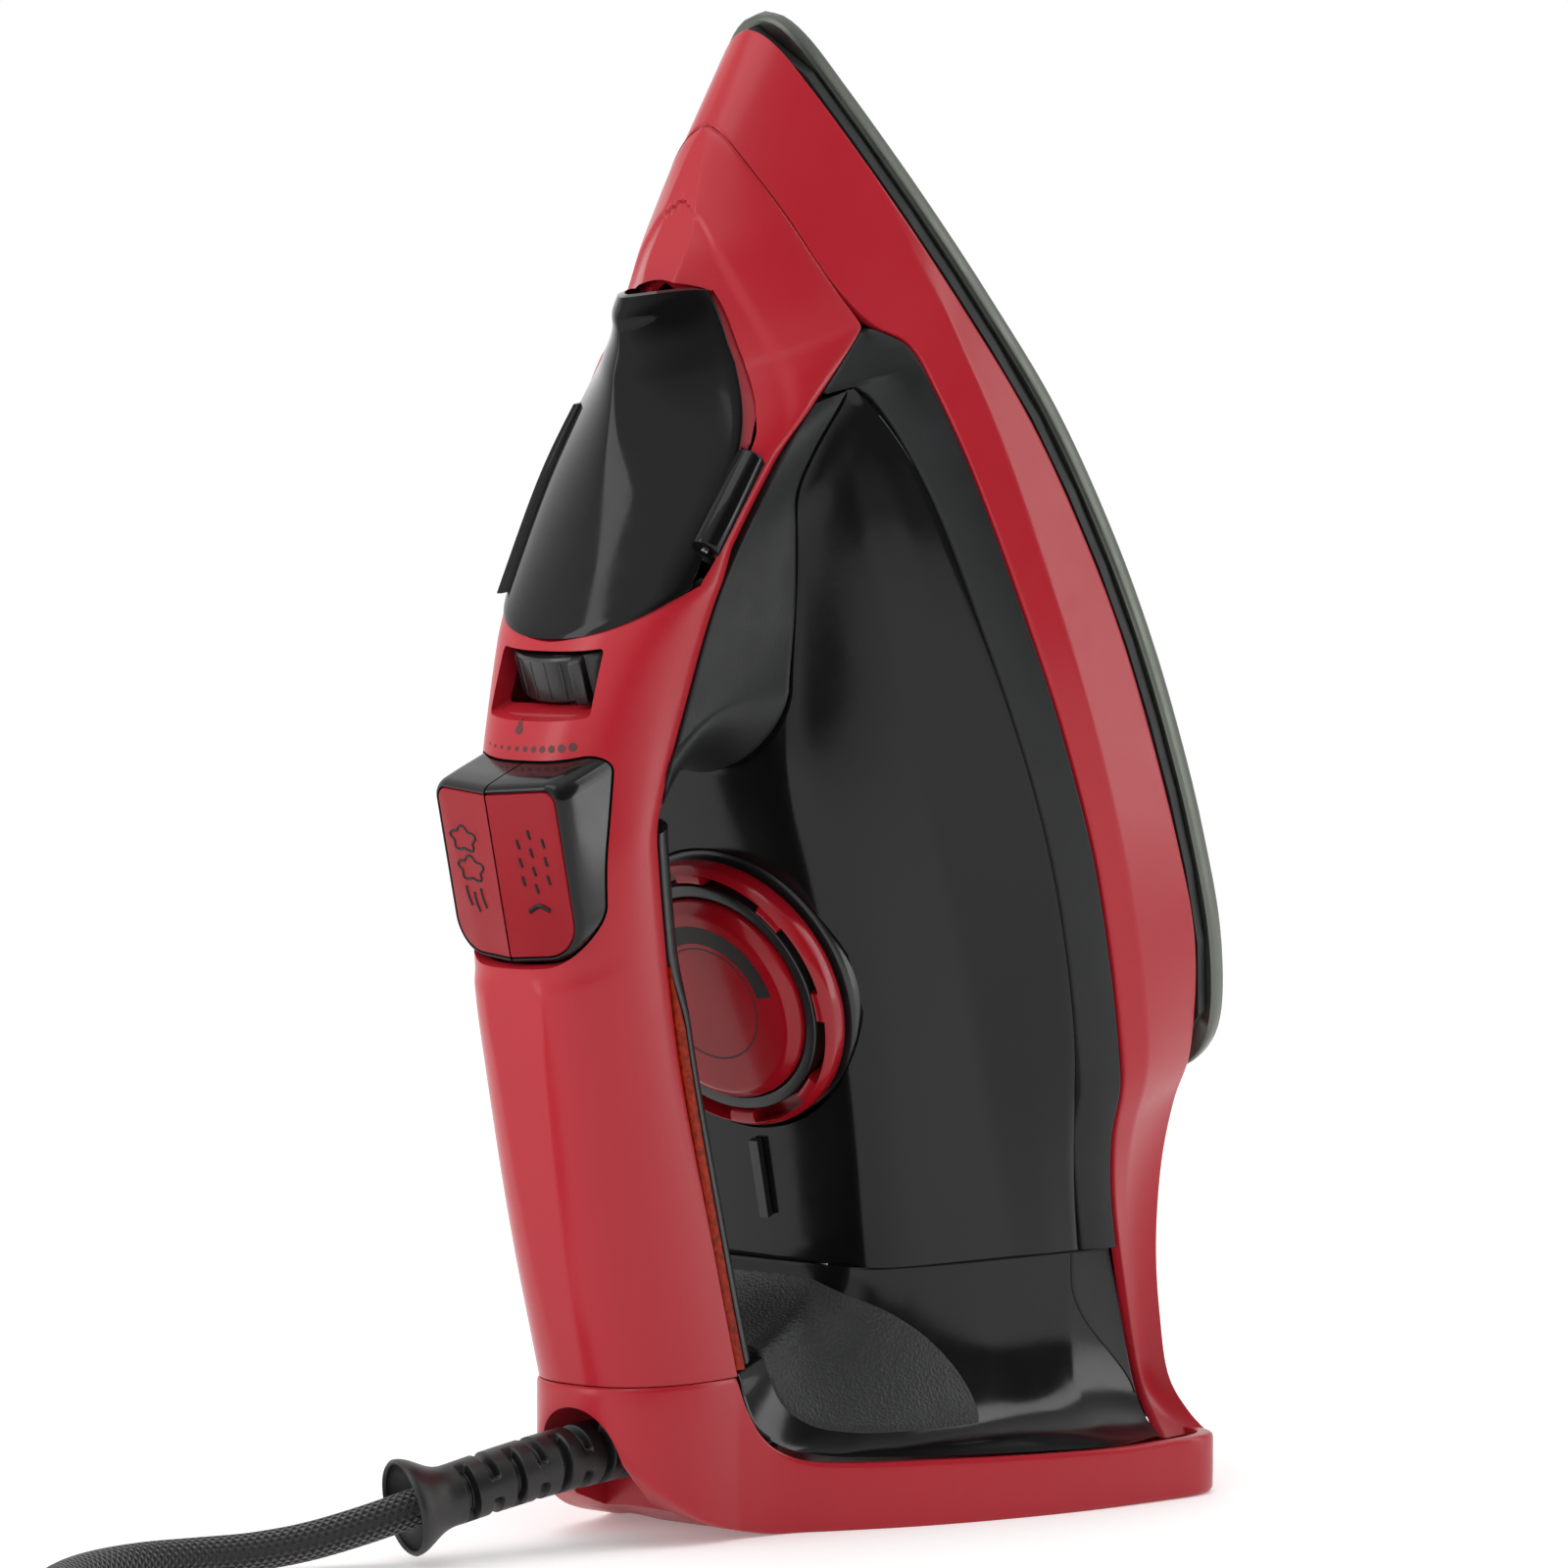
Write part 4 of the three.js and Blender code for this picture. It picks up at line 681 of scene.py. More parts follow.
def cover_point(along, v, offset=0.0, detail=True):
    """v runs from -1 on the right edge over the crest to 1; offset is outwards."""
    along, v, offset = np.broadcast_arrays(np.asarray(along, float), v, offset)
    n = squareness(along)
    turn = np.abs(v) * math.pi / 2
    half, foot, top = cover_half(along), cover_foot(along), crest(along)
    if detail:
        across0 = half * np.sin(turn) ** (2 / n)
        rise0 = foot + (top - foot) * np.cos(turn) ** (2 / n)
        from_edge = np.hypot(half - across0, rise0 - foot)
        chamfer = 0.2 * np.clip(3.6 - from_edge, 0, None)
        chamfer = chamfer * smooth((along - 104) / 40) * smooth((262 - along) / 12)
        scoop = 1.1 * smooth((scoop_half(along) - across0) / 1.5) * smooth((along - 227) / 7)
        offset = offset - chamfer - scoop * (along < 292)
    height = np.maximum(top - foot + offset, 0.2)
    lifted = (1 + (facet(along) if detail else 0)) * np.cos(turn) ** (2 / n)
    rise = foot + height * np.minimum(lifted, 1)
    across = np.sign(v) * np.maximum(half + offset, 0.15) * np.sin(turn) ** (2 / n)
    return at(along + shift(along, rise, HANDLE_BASE), across, rise)


def column_at(along, across):
    """The v at which the cover is that far from the centre plane."""
    share = np.minimum(np.abs(across) / cover_half(along), 1)
    return 2 / math.pi * np.arcsin(share ** (squareness(along) / 2))


COVER_END = (HEEL_TOP + 0.2 + HANDLE_BASE * SIN) / COS
lid_half = through(
    (224, 21.2), (228.8, 22.1), (231, 22.4), (236, 22.9), (247, 23.4), (250.5, 23.3), (252, 22.9),
    (258, 20.2), (266, 15.4), (273, 11.6), (276.5, 9.4))
LID_REAR, LID_FRONT = 225.9, 276.5
AXIS_REAR, AXIS_FRONT = at(236, -23.9, 81.8), at(247.6, -24.6, 64.2)
AXIS = AXIS_REAR - AXIS_FRONT
AXIS_LENGTH = np.linalg.norm(AXIS)
PAD_ALONG, PAD_HALF_ALONG, PAD_HALF = 189, 17.6, 16.2
PUMP_ALONG, PUMP_ACROSS = 203, 7.6
SLOT_ALONG, SLOT_HALF_ALONG, SLOT_HALF = 218.6, 5.4, 12.6
NOZZLE = at(276, 0, 53)
NOZZLE_WAY = at(0.94, 0, 0.34) - at(0, 0, 0)


def lid_rear(c):
    """The lid's rear edge bows back towards the middle."""
    return LID_REAR + 4.0 * np.abs(c) ** 1.5


def lid_front(c):
    return LID_FRONT + 3.4 * (1 - c ** 2)


def lid_outline(by=0.0):
    c = np.linspace(-1, 1, 41)
    l = np.linspace(lid_rear(1) - by, LID_FRONT + by, 60)
    rear = np.stack([(lid_half(lid_rear(c)) + by) * c, lid_rear(c) - by], 1)
    front = np.stack([(lid_half(LID_FRONT) + by) * c, lid_front(c) - 0.4], 1)
    left = np.stack([lid_half(l) + by, l], 1)
    return np.vstack([rear, left[1:-1], front[::-1], (left[1:-1] * [-1, 1])[::-1]])


def pin_shape(name, radius, before, beyond, sides, rounding=0):
    """A bar on the lid's axis, past both of its ends."""
    profile = [(0, -before), (radius, -before), (radius, AXIS_LENGTH + beyond), (0, AXIS_LENGTH + beyond)]
    return turned(name, rounded(profile, rounding) if rounding else profile, AXIS_FRONT, AXIS, sides)


def handle_cover():
    rows = np.concatenate([
        np.linspace(COVER_END, 222, 110, endpoint=False), np.linspace(222, 302.9, 110)])[:, None]
    columns = np.linspace(-1, 1, 121)
    columns = np.sign(columns) * np.abs(columns) ** 0.92
    outer, inner = cover_point(rows, columns), cover_point(rows, columns, -WALL)
    shell = sheet("cover", outer, inner, sharp=28, rim=0.45)
    pad = rounded_box(0, PAD_ALONG, PAD_HALF + 0.35, PAD_HALF_ALONG + 0.35, (4.4, 8.4), 14)
    slot = rounded_box(0, SLOT_ALONG, SLOT_HALF, SLOT_HALF_ALONG, (0.8, 0.8), 4)
    tools = [
        prism("hole", pad, 98, 160), prism("slot", slot, 96, 140),
        prism("lid", lid_outline(0.55), 30, 140),
        pin_shape("notch", 3.25, 1.2, 0.8, 32),
        turned("way", [(0, -13), (4.7, -13), (4.7, 2.1), (0, 2.1)], NOZZLE, NOZZLE_WAY, 32)]
    return cut(shell, *tools, sharp=28)


dress(handle_cover(), RED, replaces=("handle_cover",))


def slot_well():
    """The red walls of the slider's recess, below the cover's skin."""
    outer = rounded_box(0, SLOT_ALONG, SLOT_HALF + 1.0, SLOT_HALF_ALONG + 0.9, (1.4, 1.4), 4)
    inner = rounded_box(0, SLOT_ALONG, SLOT_HALF + 0.05, SLOT_HALF_ALONG + 0.05, (0.8, 0.8), 4)
    loops = []
    for o, drop in ((outer, 0), (inner, 0), (inner, 5), (outer, 5)):
        loops.append(at(o[:, 1], o[:, 0], crest(o[:, 1]) - 2.2 - 0.014 * o[:, 0] ** 2 - drop))
    return band("slot_well", loops)


dress(slot_well(), RED)


def disc(name, centre, radius, normal):
    """A thin printed dot lying on a surface."""
    normal = unit(normal)
    side = unit(LEFT - np.dot(LEFT, normal) * normal)
    other = np.cross(normal, side)
    turn = full_turn(20)[:, None]
    ring = radius * (np.cos(turn) * side + np.sin(turn) * other)
    return loft(name, [centre + ring + normal * h for h in (-0.2, 0.03)])


def surface(along, across):
    """A place on the cover and the outward direction there."""
    v = np.sign(across) * column_at(along, across)
    p = cover_point(along, v)
    normal = np.cross(cover_point(along, v + 0.01) - cover_point(along, v - 0.01),
                      cover_point(along + 0.2, v) - cover_point(along - 0.2, v))
    return p, normal if np.dot(normal, UP) > 0 else -normal


def slider_marks():
    """Dots that grow towards the strong end, with a drop over them."""
    dots = []
    for i in range(11):
        p, normal = surface(208.8, 10.5 - i * 2.1)
        dots.append(disc("dot", p, 0.28 + 0.06 * i, normal))
    for i, (along, radius) in enumerate(((211.8, 0.95), (212.7, 0.6), (213.4, 0.25))):
        p, normal = surface(along, 2.4)
        dots.append(disc("drop", p + unit(normal) * 0.01 * i, radius, normal))
    return join("slider_marks", *dots)


dress(slider_marks(), MARK)


# ---------- the fill lid ----------
def fill_lid():
    rows, columns = np.linspace(0, 1, 100)[:, None], np.linspace(-1, 1, 81)[None, :]
    arched = np.cos(columns * math.pi / 2)

    def skin(lift, shrink=0.0):
        along = mix(lid_rear(columns), lid_front(columns), rows)
        straight = mix(lid_rear(1.0), LID_FRONT, rows)
        reach = column_at(along, lid_half(straight) - shrink)
        swell = 9 * smooth((along - 252) / 26) * arched ** 1.2
        neck = 1.3 * np.exp(-((along - 271.5) / 3.4) ** 2) * arched
        lip = 1.5 * smooth((along - 273.6) / 4.2) * arched ** 0.7
        side_rim = np.maximum(np.abs(columns) - 0.94, 0) / 0.06
        rim = np.maximum(side_rim, np.maximum(0.025 - rows, 0) / 0.025)
        grid = cover_point(along, columns * reach, 0.5 + swell - neck + lip + lift, detail=False)
        grid[:72] = eased(grid[:72], 240)
        return grid - UP * 0.45 * rim[..., None] ** 2

    roof = sheet("roof", skin(0), skin(-2.0, 0.3), sharp=40, rim=0.4)
    fin_rows = np.linspace(230.4, 258, 40)
    edges = column_at(fin_rows, lid_half(fin_rows) - 3.4)
    heights = np.linspace(-0.9, 1.5, 5)
    fin = [[cover_point(l, v, h, detail=False) for h in heights] for l, v in zip(fin_rows, edges)]
    fin = eased(fin, 80)
    fin = sheet("fin", fin, fin + LEFT * 1.3, rim=0.3)
    return join("lid", roof, fin, pin_shape("barrel", 2.95, 0.6, 0.4, 40, 0.7))


dress(fill_lid(), SMOKED, "lid", ("fill_lid",))


def spray_nozzle():
    """The nozzle under the lid's hood, with its swirl chamber's small hole."""
    profile = [(0, -12), (4.4, -12), (4.4, -4.6), (3.6, -3.6), (1.6, -3.6), (1.2, -5), (0.5, -5),
               (0.5, -7), (0, -7)]
    return turned("nozzle", rounded(profile, 0.4), NOZZLE, NOZZLE_WAY, 48)


hinge_pin = pin_shape("pin", 0.75, 1.2, 1, 24, 0.3)
dress(hinge_pin, STEEL, replaces=("lid_hinge_pin",))
dress(spray_nozzle(), RED, replaces=("spray_nozzle",))


# ---------- the two buttons ----------
def face_rise(along, across, lift=0.0):
    return 136 + lift - (along - 172) * 0.115 - np.abs(across) * 0.2


def half_pad(side, inset, lift):
    """One side's outline at a given inset, lying on the pad's sloping face or a level below it."""
    radii = (max(4 - inset, 1.4), max(8 - inset, 2))
    whole = rounded_box(0, PAD_ALONG, PAD_HALF - inset, PAD_HALF_ALONG - inset, radii, 14)
    half = whole[whole[:, 0] > 0.25]
    order = np.argsort(np.arctan2(half[:, 1] - PAD_ALONG, half[:, 0]))
    half = half[order]
    half = np.vstack([[0.2, half[0, 1]], half, [0.2, half[-1, 1]]])
    return at(half[:, 1], side * half[:, 0], face_rise(half[:, 1], half[:, 0], lift))


def button(side, name):
    """A dark bezel with a room for its pump's spring, and the inlay in it."""
    bezel_steps = [(0, -17.6), (0.0, -6), (0.1, -1.7), (0.3, -0.8), (0.65, -0.2), (1.0, 0.05), (1.3, 0),
                   (1.4, -0.3), (1.45, -1.5)]
    inlay_steps = [(1.6, -1.35), (1.6, -0.1), (1.72, 0.1), (2.0, 0.18)]
    body = loft(name + "_bezel", [half_pad(side, inset, lift) for inset, lift in bezel_steps], 32)
    room = [(0, 100), (4.3, 100), (4.3, 118.4), (0, 118.4)]
    body = cut(body, turned("bore", room, at(PUMP_ALONG, side * PUMP_ACROSS, 0), UP, 40), sharp=32)
    face = loft(name + "_inlay", [half_pad(side, inset, lift) for inset, lift in inlay_steps], 32)
    return body, face


def stroke(points, radius=0.3, closed=False):
    """A line of a moulded sign, lying half sunk in a button's face."""
    points = np.asarray(points, float)
    if closed:
        points = np.vstack([points, points[:1]])
    line = spline([at(l, a, face_rise(l, a, 0.12)) for l, a in points], 10 * len(points))
    return tube("stroke", line, radius, 8, capped=not closed)


def steam_sign():
    """Two puffs of steam over three jets."""
    strokes = []
    turn = full_turn(30)
    for along, across in ((195.4, 8.8), (189.6, 7.8)):
        radius = 3.4 * (1 + 0.17 * np.cos(5 * turn))
        puff = np.stack([along + 0.66 * radius * np.cos(turn), across + radius * np.sin(turn)], 1)
        strokes.append(stroke(puff, 0.3, True))
    for along, across in ((186, 10.2), (185, 8), (186, 5.8)):
        jet = [(along, across), (along - 2, across - 0.3), (along - 3.8, across - 1)]
        strokes.append(stroke(jet, 0.32))
    return join("steam_sign", *strokes)


def spray_sign():
    """Drops leaving a curved nozzle."""
    strokes = []
    outer_drops = (195.2, 191.6, 188)
    for across, alongs in ((-5.4, outer_drops), (-8, (197, 193.4, 189.8, 186.4)), (-10.8, outer_drops)):
        for along in alongs:
            drop = [(along + 0.9, across), (along, across - 0.1), (along - 0.9, across - 0.3)]
            strokes.append(stroke(drop, 0.34))
    strokes.append(stroke([(182, -5.8), (183, -8), (182, -10.2)], 0.5))
    return join("spray_sign", *strokes)


for side, name, sign in ((1, "steam", steam_sign), (-1, "spray", spray_sign)):
    body, face = button(side, name)
    dress(body, GLOSS, name + "_button", (name + "_button",))
    dress(face, DEEP_RED, name + "_button", (name + "_button_face",))
    dress(sign(), MARK_BLACK, name + "_button")


# ---------- the steam slider ----------
def steam_slider():
    """A ribbed drum sector with a thumb tab."""
    radius, rise = 15.6, 92.4
    turn = np.radians(np.linspace(-110, 54, 60))
    arc = np.stack([radius * np.sin(turn), rise + radius * np.cos(turn)], 1)
    fan = np.vstack([[[0, rise]], arc])
    loops = [at(l, fan[:, 0] * k, rise + (fan[:, 1] - rise) * k) for l, k in (
        (213.9, 0.975), (214.4, 1), (222.5, 1), (223, 0.975))]
    drum = loft("drum", loops, 32)
    lean = math.radians(-28)
    out = np.array([math.sin(lean), math.cos(lean)])
    side = np.array([math.cos(lean), -math.sin(lean)])
    corners = ((-1.7, 10.8), (1.7, 10.8), (1.5, 18.6), (-1.1, 18.9))
    flat = [out * high + side * wide for wide, high in corners]
    tab = loft("tab", [[at(l, p[0], rise + p[1]) for p in flat] for l in (214.2, 223)], 30)
    baked(bevelled(tab, 0.5, 3, 40), 50)
    ribs = []
    reach = radius - 0.05
    for degrees in (-100, -85, -70, -55, -14, 0, 14, 28, 42):
        a = math.radians(degrees)
        alongs = np.linspace(214.8, 222.1, 6)
        path = at(alongs, reach * math.sin(a), rise + reach * math.cos(a))
        ribs.append(tube("rib", path, 0.22, 6))
    return join("slider_drum", drum, tab, *ribs)


dress(steam_slider(), SATIN, "slider", ("steam_slider",))

# ---------- the tank, its trim and the front pillar ----------
tank_half = through(
    (60, 42.3), (76, 44.6), (89, 48), (102.5, 53.6), (145, 58.6), (173, 58), (197.7, 55.2), (230, 48.2),
    (247, 41.2), (256, 36.2), (260, 32), (261.6, 30.2))
tank_foot = through(
    (60, 29.4), (197.7, 29.4), (230, 27.6), (247, 25), (256, 23.9), (260, 26), (261.6, 28.2))
seam_half = through(
    (60, 38.6), (89, 43.6), (102.5, 48.6), (145, 53.8), (173, 53.2), (210, 47.6), (230, 42), (244, 35),
    (249, 32.8), (252.6, 31.6))
seam_rise = through((60, 36.4), (197.7, 36.4), (230, 34.6), (242, 33.4), (249, 34.6), (252.6, 37.4))
ridge_half = through(
    (60, 34.5), (100, 36.6), (160, 38), (215, 35), (236, 31), (244, 30.4), (252.6, 31.2))
ridge_rise = through(
    (60, 52), (100, 50.6), (160, 49.6), (215, 47.5), (236, 44), (244, 42), (252.6, 38.4))
body_top = through(
    (60, 83), (69, 82), (82, 80.3), (90, 79.2), (105, 78), (122, 76.5), (160, 75.5), (185, 74),
    (200, 68), (215, 60), (230, 54.8), (237, 53), (244, 47.6), (249, 42.4), (252.6, 38.6))
top_half = through(
    (60, 25), (100, 28), (150, 28.6), (180, 26.4), (203, 24), (230, 24.2), (237, 25), (244, 27.4),
    (249, 29.6), (252.6, 31.1))
TANK_START = (DECK_TOP + 0.02 + TANK_BASE * SIN) / COS
TANK_TIP = 252.4


def softened(points, count, reach):
    """A section's polyline at even steps, its corners rounded over a given reach."""
    line = even(np.asarray(points, float), count)
    run = np.linalg.norm(np.diff(line, axis=0), axis=1).sum()
    width = max(int(round(reach / run * count)), 1)
    kernel = np.hanning(2 * width + 3)
    kernel /= kernel.sum()
    padded = np.pad(line, ((width + 1, width + 1), (0, 0)), mode="reflect", reflect_type="odd")
    return np.stack([np.convolve(padded[:, k], kernel, mode="valid") for k in range(2)], 1)


def flank(l, inset=0.0):
    """A tank section from the trim seam up to the middle, as (across, rise)."""
    s, r, t = (seam_half(l), seam_rise(l)), (ridge_half(l), ridge_rise(l)), (top_half(l), body_top(l))
    mid = (mix(s[0], r[0], 0.5) + 0.5, mix(s[1], r[1], 0.5))
    shoulder = (mix(r[0], t[0], 0.62), mix(r[1], t[1], 0.7))
    crown = 0.8 if l < 200 else 0.0
    arch = np.sin(np.linspace(0, math.pi / 2, 12)[1:])
    top = np.stack([np.linspace(t[0], 0, 12)[1:], t[1] + crown * arch], 1)
    upper = softened(np.vstack([r, shoulder, t, top]), 60, mix(1.6, 9, smooth((214 - l) / 26)))
    line = softened(np.vstack([s, mid, upper]), 90, 1.5)
    line[:, 0] = np.maximum(line[:, 0], 0)
    line[-1, 0] = 0
    line[:, 0] -= 0.45 * smooth(1 - np.arange(90) / 2.2)
    if inset:
        tangent = np.gradient(line, axis=0)
        normal = units(np.stack([-tangent[:, 1], tangent[:, 0]], 1))
        if normal[10, 0] > 0:
            normal = -normal
        line = line + normal * inset
        line[:, 0] = np.maximum(line[:, 0], 0)
    return line


def water_tank():
    rows = np.concatenate([
        np.linspace(TANK_START, 225, 90, endpoint=False), np.linspace(225, TANK_TIP, 50)])

    def section(l, inset):
        line = flank(l, inset * smooth((TANK_TIP + 0.6 - l) / 4) + 0.02)
        return mirrored(at(l + shift(l, line[:, 1], TANK_BASE), -line[:, 0], line[:, 1]))

    shell = swept("tank", rows, section, WALL, lambda grid: eased(grid, 60), sharp=30, rim=0.15)
    hole = [(0, 73.6), (29.5, 73.6), (29.5, 100), (0, 100)]
    return cut(shell, turned("hole", hole, at(DIAL_ALONG, 0, 0), UP, 96), sharp=30)


dress(water_tank(), GLOSS, replaces=("water_tank",))


def tank_trim(side):
    """The matt band between skirt and tank; its front end closes up to the cover's edge."""
    rows = np.concatenate([
        np.linspace(TANK_START, 235, 80, endpoint=False), np.linspace(235, 261.2, 44)])
    t = np.linspace(0, 1, 14)
    bulge = 0.5 * np.sin(math.pi * t)

    def section(l, inset):
        closing = smooth((l - TANK_TIP) / 1.2)
        top_w = mix(seam_half(min(l, TANK_TIP)), cover_half(l) - 0.1, closing)
        top_h = mix(seam_rise(min(l, TANK_TIP)) - 0.25, cover_foot(l) - 0.3, closing)
        w, h = mix(tank_half(l) - 0.1, top_w, t), mix(tank_foot(l) + 0.15, top_h, t)
        return at(l + shift(l, h, TANK_BASE), side * (w + bulge - inset), h)

    return swept("trim_right" if side < 0 else "trim_left", rows, section, WALL, rim=0.3)


for side, node in ((-1, "tank_trim_right"), (1, "tank_trim_left")):
    dress(tank_trim(side), MATTE, replaces=(node,))


def front_pillar():
    """The pillar between tank and cover: its sides end at the apex, its back is a hollow curve."""
    columns = [(l, float(top_half(l)), float(body_top(l)) + 0.15, float(cover_half(l)) - 0.3,
                float(cover_foot(l)) - 0.25) for l in np.linspace(TANK_TIP, 201, 60)]
    columns += [(193, 20, 72.2, 17.4, 102), (187.6, 11, 75.4, 10, 97.4), (186.6, 0, 75.6, 0, 96.4)]
    columns = np.array(columns)
    steps = np.linspace(0, 3, 40)
    back = [np.polyval(np.polyfit([0, 1, 2, 3], columns[-4:, k], 3), steps) for k in range(5)]
    columns = np.vstack([columns[:-4], np.array(back).T])
    t = np.linspace(0, 1, 26)

    def upright(column, inset):
        l, foot_half, foot, top_width, top = column
        waist = 5 * np.sin(math.pi * t) * smooth((215 - l) / 25)
        w = np.maximum(mix(foot_half, top_width, t) - inset, 0) - waist * 0.3 * (foot_half > 0.5)
        return at(l + waist + inset * smooth((200 - l) / 12), -np.maximum(w, 0), mix(foot, top, t))

    return swept("pillar", columns, upright, 2, mirrored, rim=0.3)


dress(front_pillar(), MATTE, replaces=("front_pillar",))


# ---------- the underside of the handle ----------
STRIP_FRONT, STRIP_HEIGHT = 162, 2.8


def beside_edge(l):
    """The strip thins out to nothing at its front end."""
    return smooth((STRIP_FRONT - l) / 16 + 0.12)


def handle_underside():
    rows = np.concatenate([
        np.linspace(COVER_END + 2, STRIP_FRONT + 0.2, 50), np.linspace(STRIP_FRONT + 1.4, 187, 24)])
    turn = np.linspace(-0.998, 0.998, 61) * math.pi / 2

    def section(l, inset):
        drop = mix(0.25, STRIP_HEIGHT * beside_edge(l) + GAP, smooth((STRIP_FRONT + 1.4 - l) / 1.2))
        half, top = cover_half(l) - 0.5 - inset, cover_foot(l) - drop
        lift = 4 * max(1 - (l - rows[0]) / 18, 0) * np.cos(turn)
        rise = top - (9.5 - drop - inset) * np.cos(turn) ** 0.8
        return at(l + lift + shift(l, rise, HANDLE_BASE), half * np.sin(turn), rise)

    return swept("underside", rows, section, 2.0, rim=0.3)


dress(handle_underside(), SATIN, replaces=("handle_underside",))


def light_strip(side):
    rows = np.linspace(COVER_END + 1.2, STRIP_FRONT - 0.2, 70)
    drops = np.linspace(0.25, STRIP_HEIGHT, 6)
    bulge = 0.25 * np.sin(np.linspace(0, math.pi, 6))

    def section(l, inset):
        rise = cover_foot(l) - drops * beside_edge(l)
        across = side * (cover_half(l) - 0.35 + bulge - inset)
        return at(l + shift(l, rise, HANDLE_BASE), across, rise)

    return swept("strip_right" if side < 0 else "strip_left", rows, section, 1.6, rim=0.25)


for side, node in ((-1, "light_strip_right"), (1, "light_strip_left")):
    dress(light_strip(side), AMBER, replaces=(node,))

# ---------- the skirt ----------
ridge_place = through(
    (20, 0.5), (60, 0.3), (100, 0.24), (200, 0.3), (250, 0.52), (276, 0.86), (286, 1.0), (318, 1.0))


def skirt():
    """Side and nose in one: a ridge runs along it, and the inside stops short of the nose."""
    steps = np.linspace(0, 1, 260)
    down = np.linspace(0, 1, 30)

    def rib(ends, inset):
        foot, top = ends
        line = mix(top[None], foot[None], down[:, None])
        place = ridge_place(foot[0])
        nose = smooth((foot[0] - 285) / 32)
        bulge = down * 0
        if place < 1:
            bulge = np.minimum(down / place, (1 - down) / max(1 - place, 1e-3))
        amount = 1.5 * smooth((foot[0] - 60) / 50) * smooth((292 - foot[0]) / 40)
        bulge = amount * np.minimum(bulge, 1)
        bow = -0.9 * np.sin(math.pi * down) * smooth((100 - foot[0]) / 30)
        w = np.maximum(np.abs(line[:, 1]) + bulge + bow - inset * (1 - 0.35 * nose), 0)
        w = w * (np.abs(line[:, 1]) > 1e-6)
        back_off = 9 if inset else 0
        return at(line[:, 0] - back_off * nose, -w, line[:, 2])

    ends = list(zip(SKIRT_FOOT(steps), SKIRT_TOP(steps)))
    return swept("skirt_shell", ends, rib, WALL, mirrored, sharp=30, rim=0.35)


dress(skirt(), RED, replaces=("skirt",))

# ---------- the heel ----------
HEEL_PLAN = [
    (69.5, 0), (69.5, 50), (69, 55), (66.5, 58.6), (62, 59.8), (50, 57.6), (31, 52.4), (12, 45),
    (-4, 37), (-17, 28.6), (-26, 22.6)]
BASE_LOW = through(
    (-66.4, 31), (-65.6, 28), (-63.2, 20.4), (-59, 13.8), (-53.5, 8.8), (-46, 4.4), (-36, 1.5),
    (-26, 0), (75, 0))
BASE_HIGH = through(
    (-70, 32), (-39, 32), (-38, 31.6), (-36, 26.4), (-32.4, 20.4), (-27, 16), (-20, 13.8), (0, 13),
    (40, 12), (56, 12.3), (75, 12.6))


def heel_plan(count=260):
    turn = np.linspace(math.pi / 2, 0, 40)
    nose = np.stack([-37.6 - 27.8 * np.cos(turn) ** 0.8, 19.2 * np.sin(turn) ** 0.8], 1)
    corner = even(np.array(HEEL_PLAN[:2], float), 20)
    rest = spline([(x, y, 0) for x, y in HEEL_PLAN[1:]] + [(*nose[0], 0)], 200)[:, :2]
    return even(np.vstack([corner[:-1], rest, nose[1:]]), count)


def both_sides(half, flip):
    """A closed loop from the half that starts and ends on the centre plane."""
    return np.vstack([half, (half[1:-1] * flip)[::-1]])


def heel_base():
    """A tray with a flat foot, rounding up into the handle's end, with a tunnel for the cord."""
    plan = heel_plan()
    centre = 10.0

    def ring(inset, heights):
        """The plan drawn in, at the heights between its low and its high edge."""
        x = centre + (plan[:, 0] - centre) * (1 - inset / 60)
        y = plan[:, 1] * (1 - inset / 60)
        return both_sides(world(x, -y, heights(x, BASE_LOW(x), BASE_HIGH(x))), [1, -1, 1])

    def wall(inset, share, drop=0.0):
        def heights(x, low, high):
            return mix(low, high, share) + np.clip(drop, -0.4 * (high - low), 0.4 * (high - low))
        return ring(inset, heights)

    def tray(inset):
        def heights(x, low, high):
            return mix(low + 2.6, high - 0.3, smooth((-26 - x) / 6))
        return ring(inset, heights)

    loops = [wall(*step) for step in (
        (45, 0), (25, 0), (8, 0), (1.6, 0), (0.9, 0, 0.16), (0.35, 0, 0.55), (0.05, 0, 1.2),
        (0, 0.35), (0, 0.5), (0, 0.65), (0.0, 1, -1.1), (0.12, 1, -0.5), (0.45, 1, -0.12), (0.9, 1),
        (2.4, 1), (2.6, 1, -0.3))]
    loops += [tray(inset) for inset in (2.7, 12, 25, 45)]
    half, top = 9.5, 27.6
    turn = np.linspace(0, math.pi, 30)
    round_part = np.stack([half * np.cos(turn), top - half + half * np.sin(turn)], 1)
    arch = np.vstack([(half, -4), round_part, (-half, -4)])
    tunnel = loft("arch", [world(x, arch[:, 0], arch[:, 1]) for x in (-84, -44)])
    return cut(loft("heel_tray", loops, 30), tunnel, sharp=30)


dress(heel_base(), RED, replaces=("heel_base",))


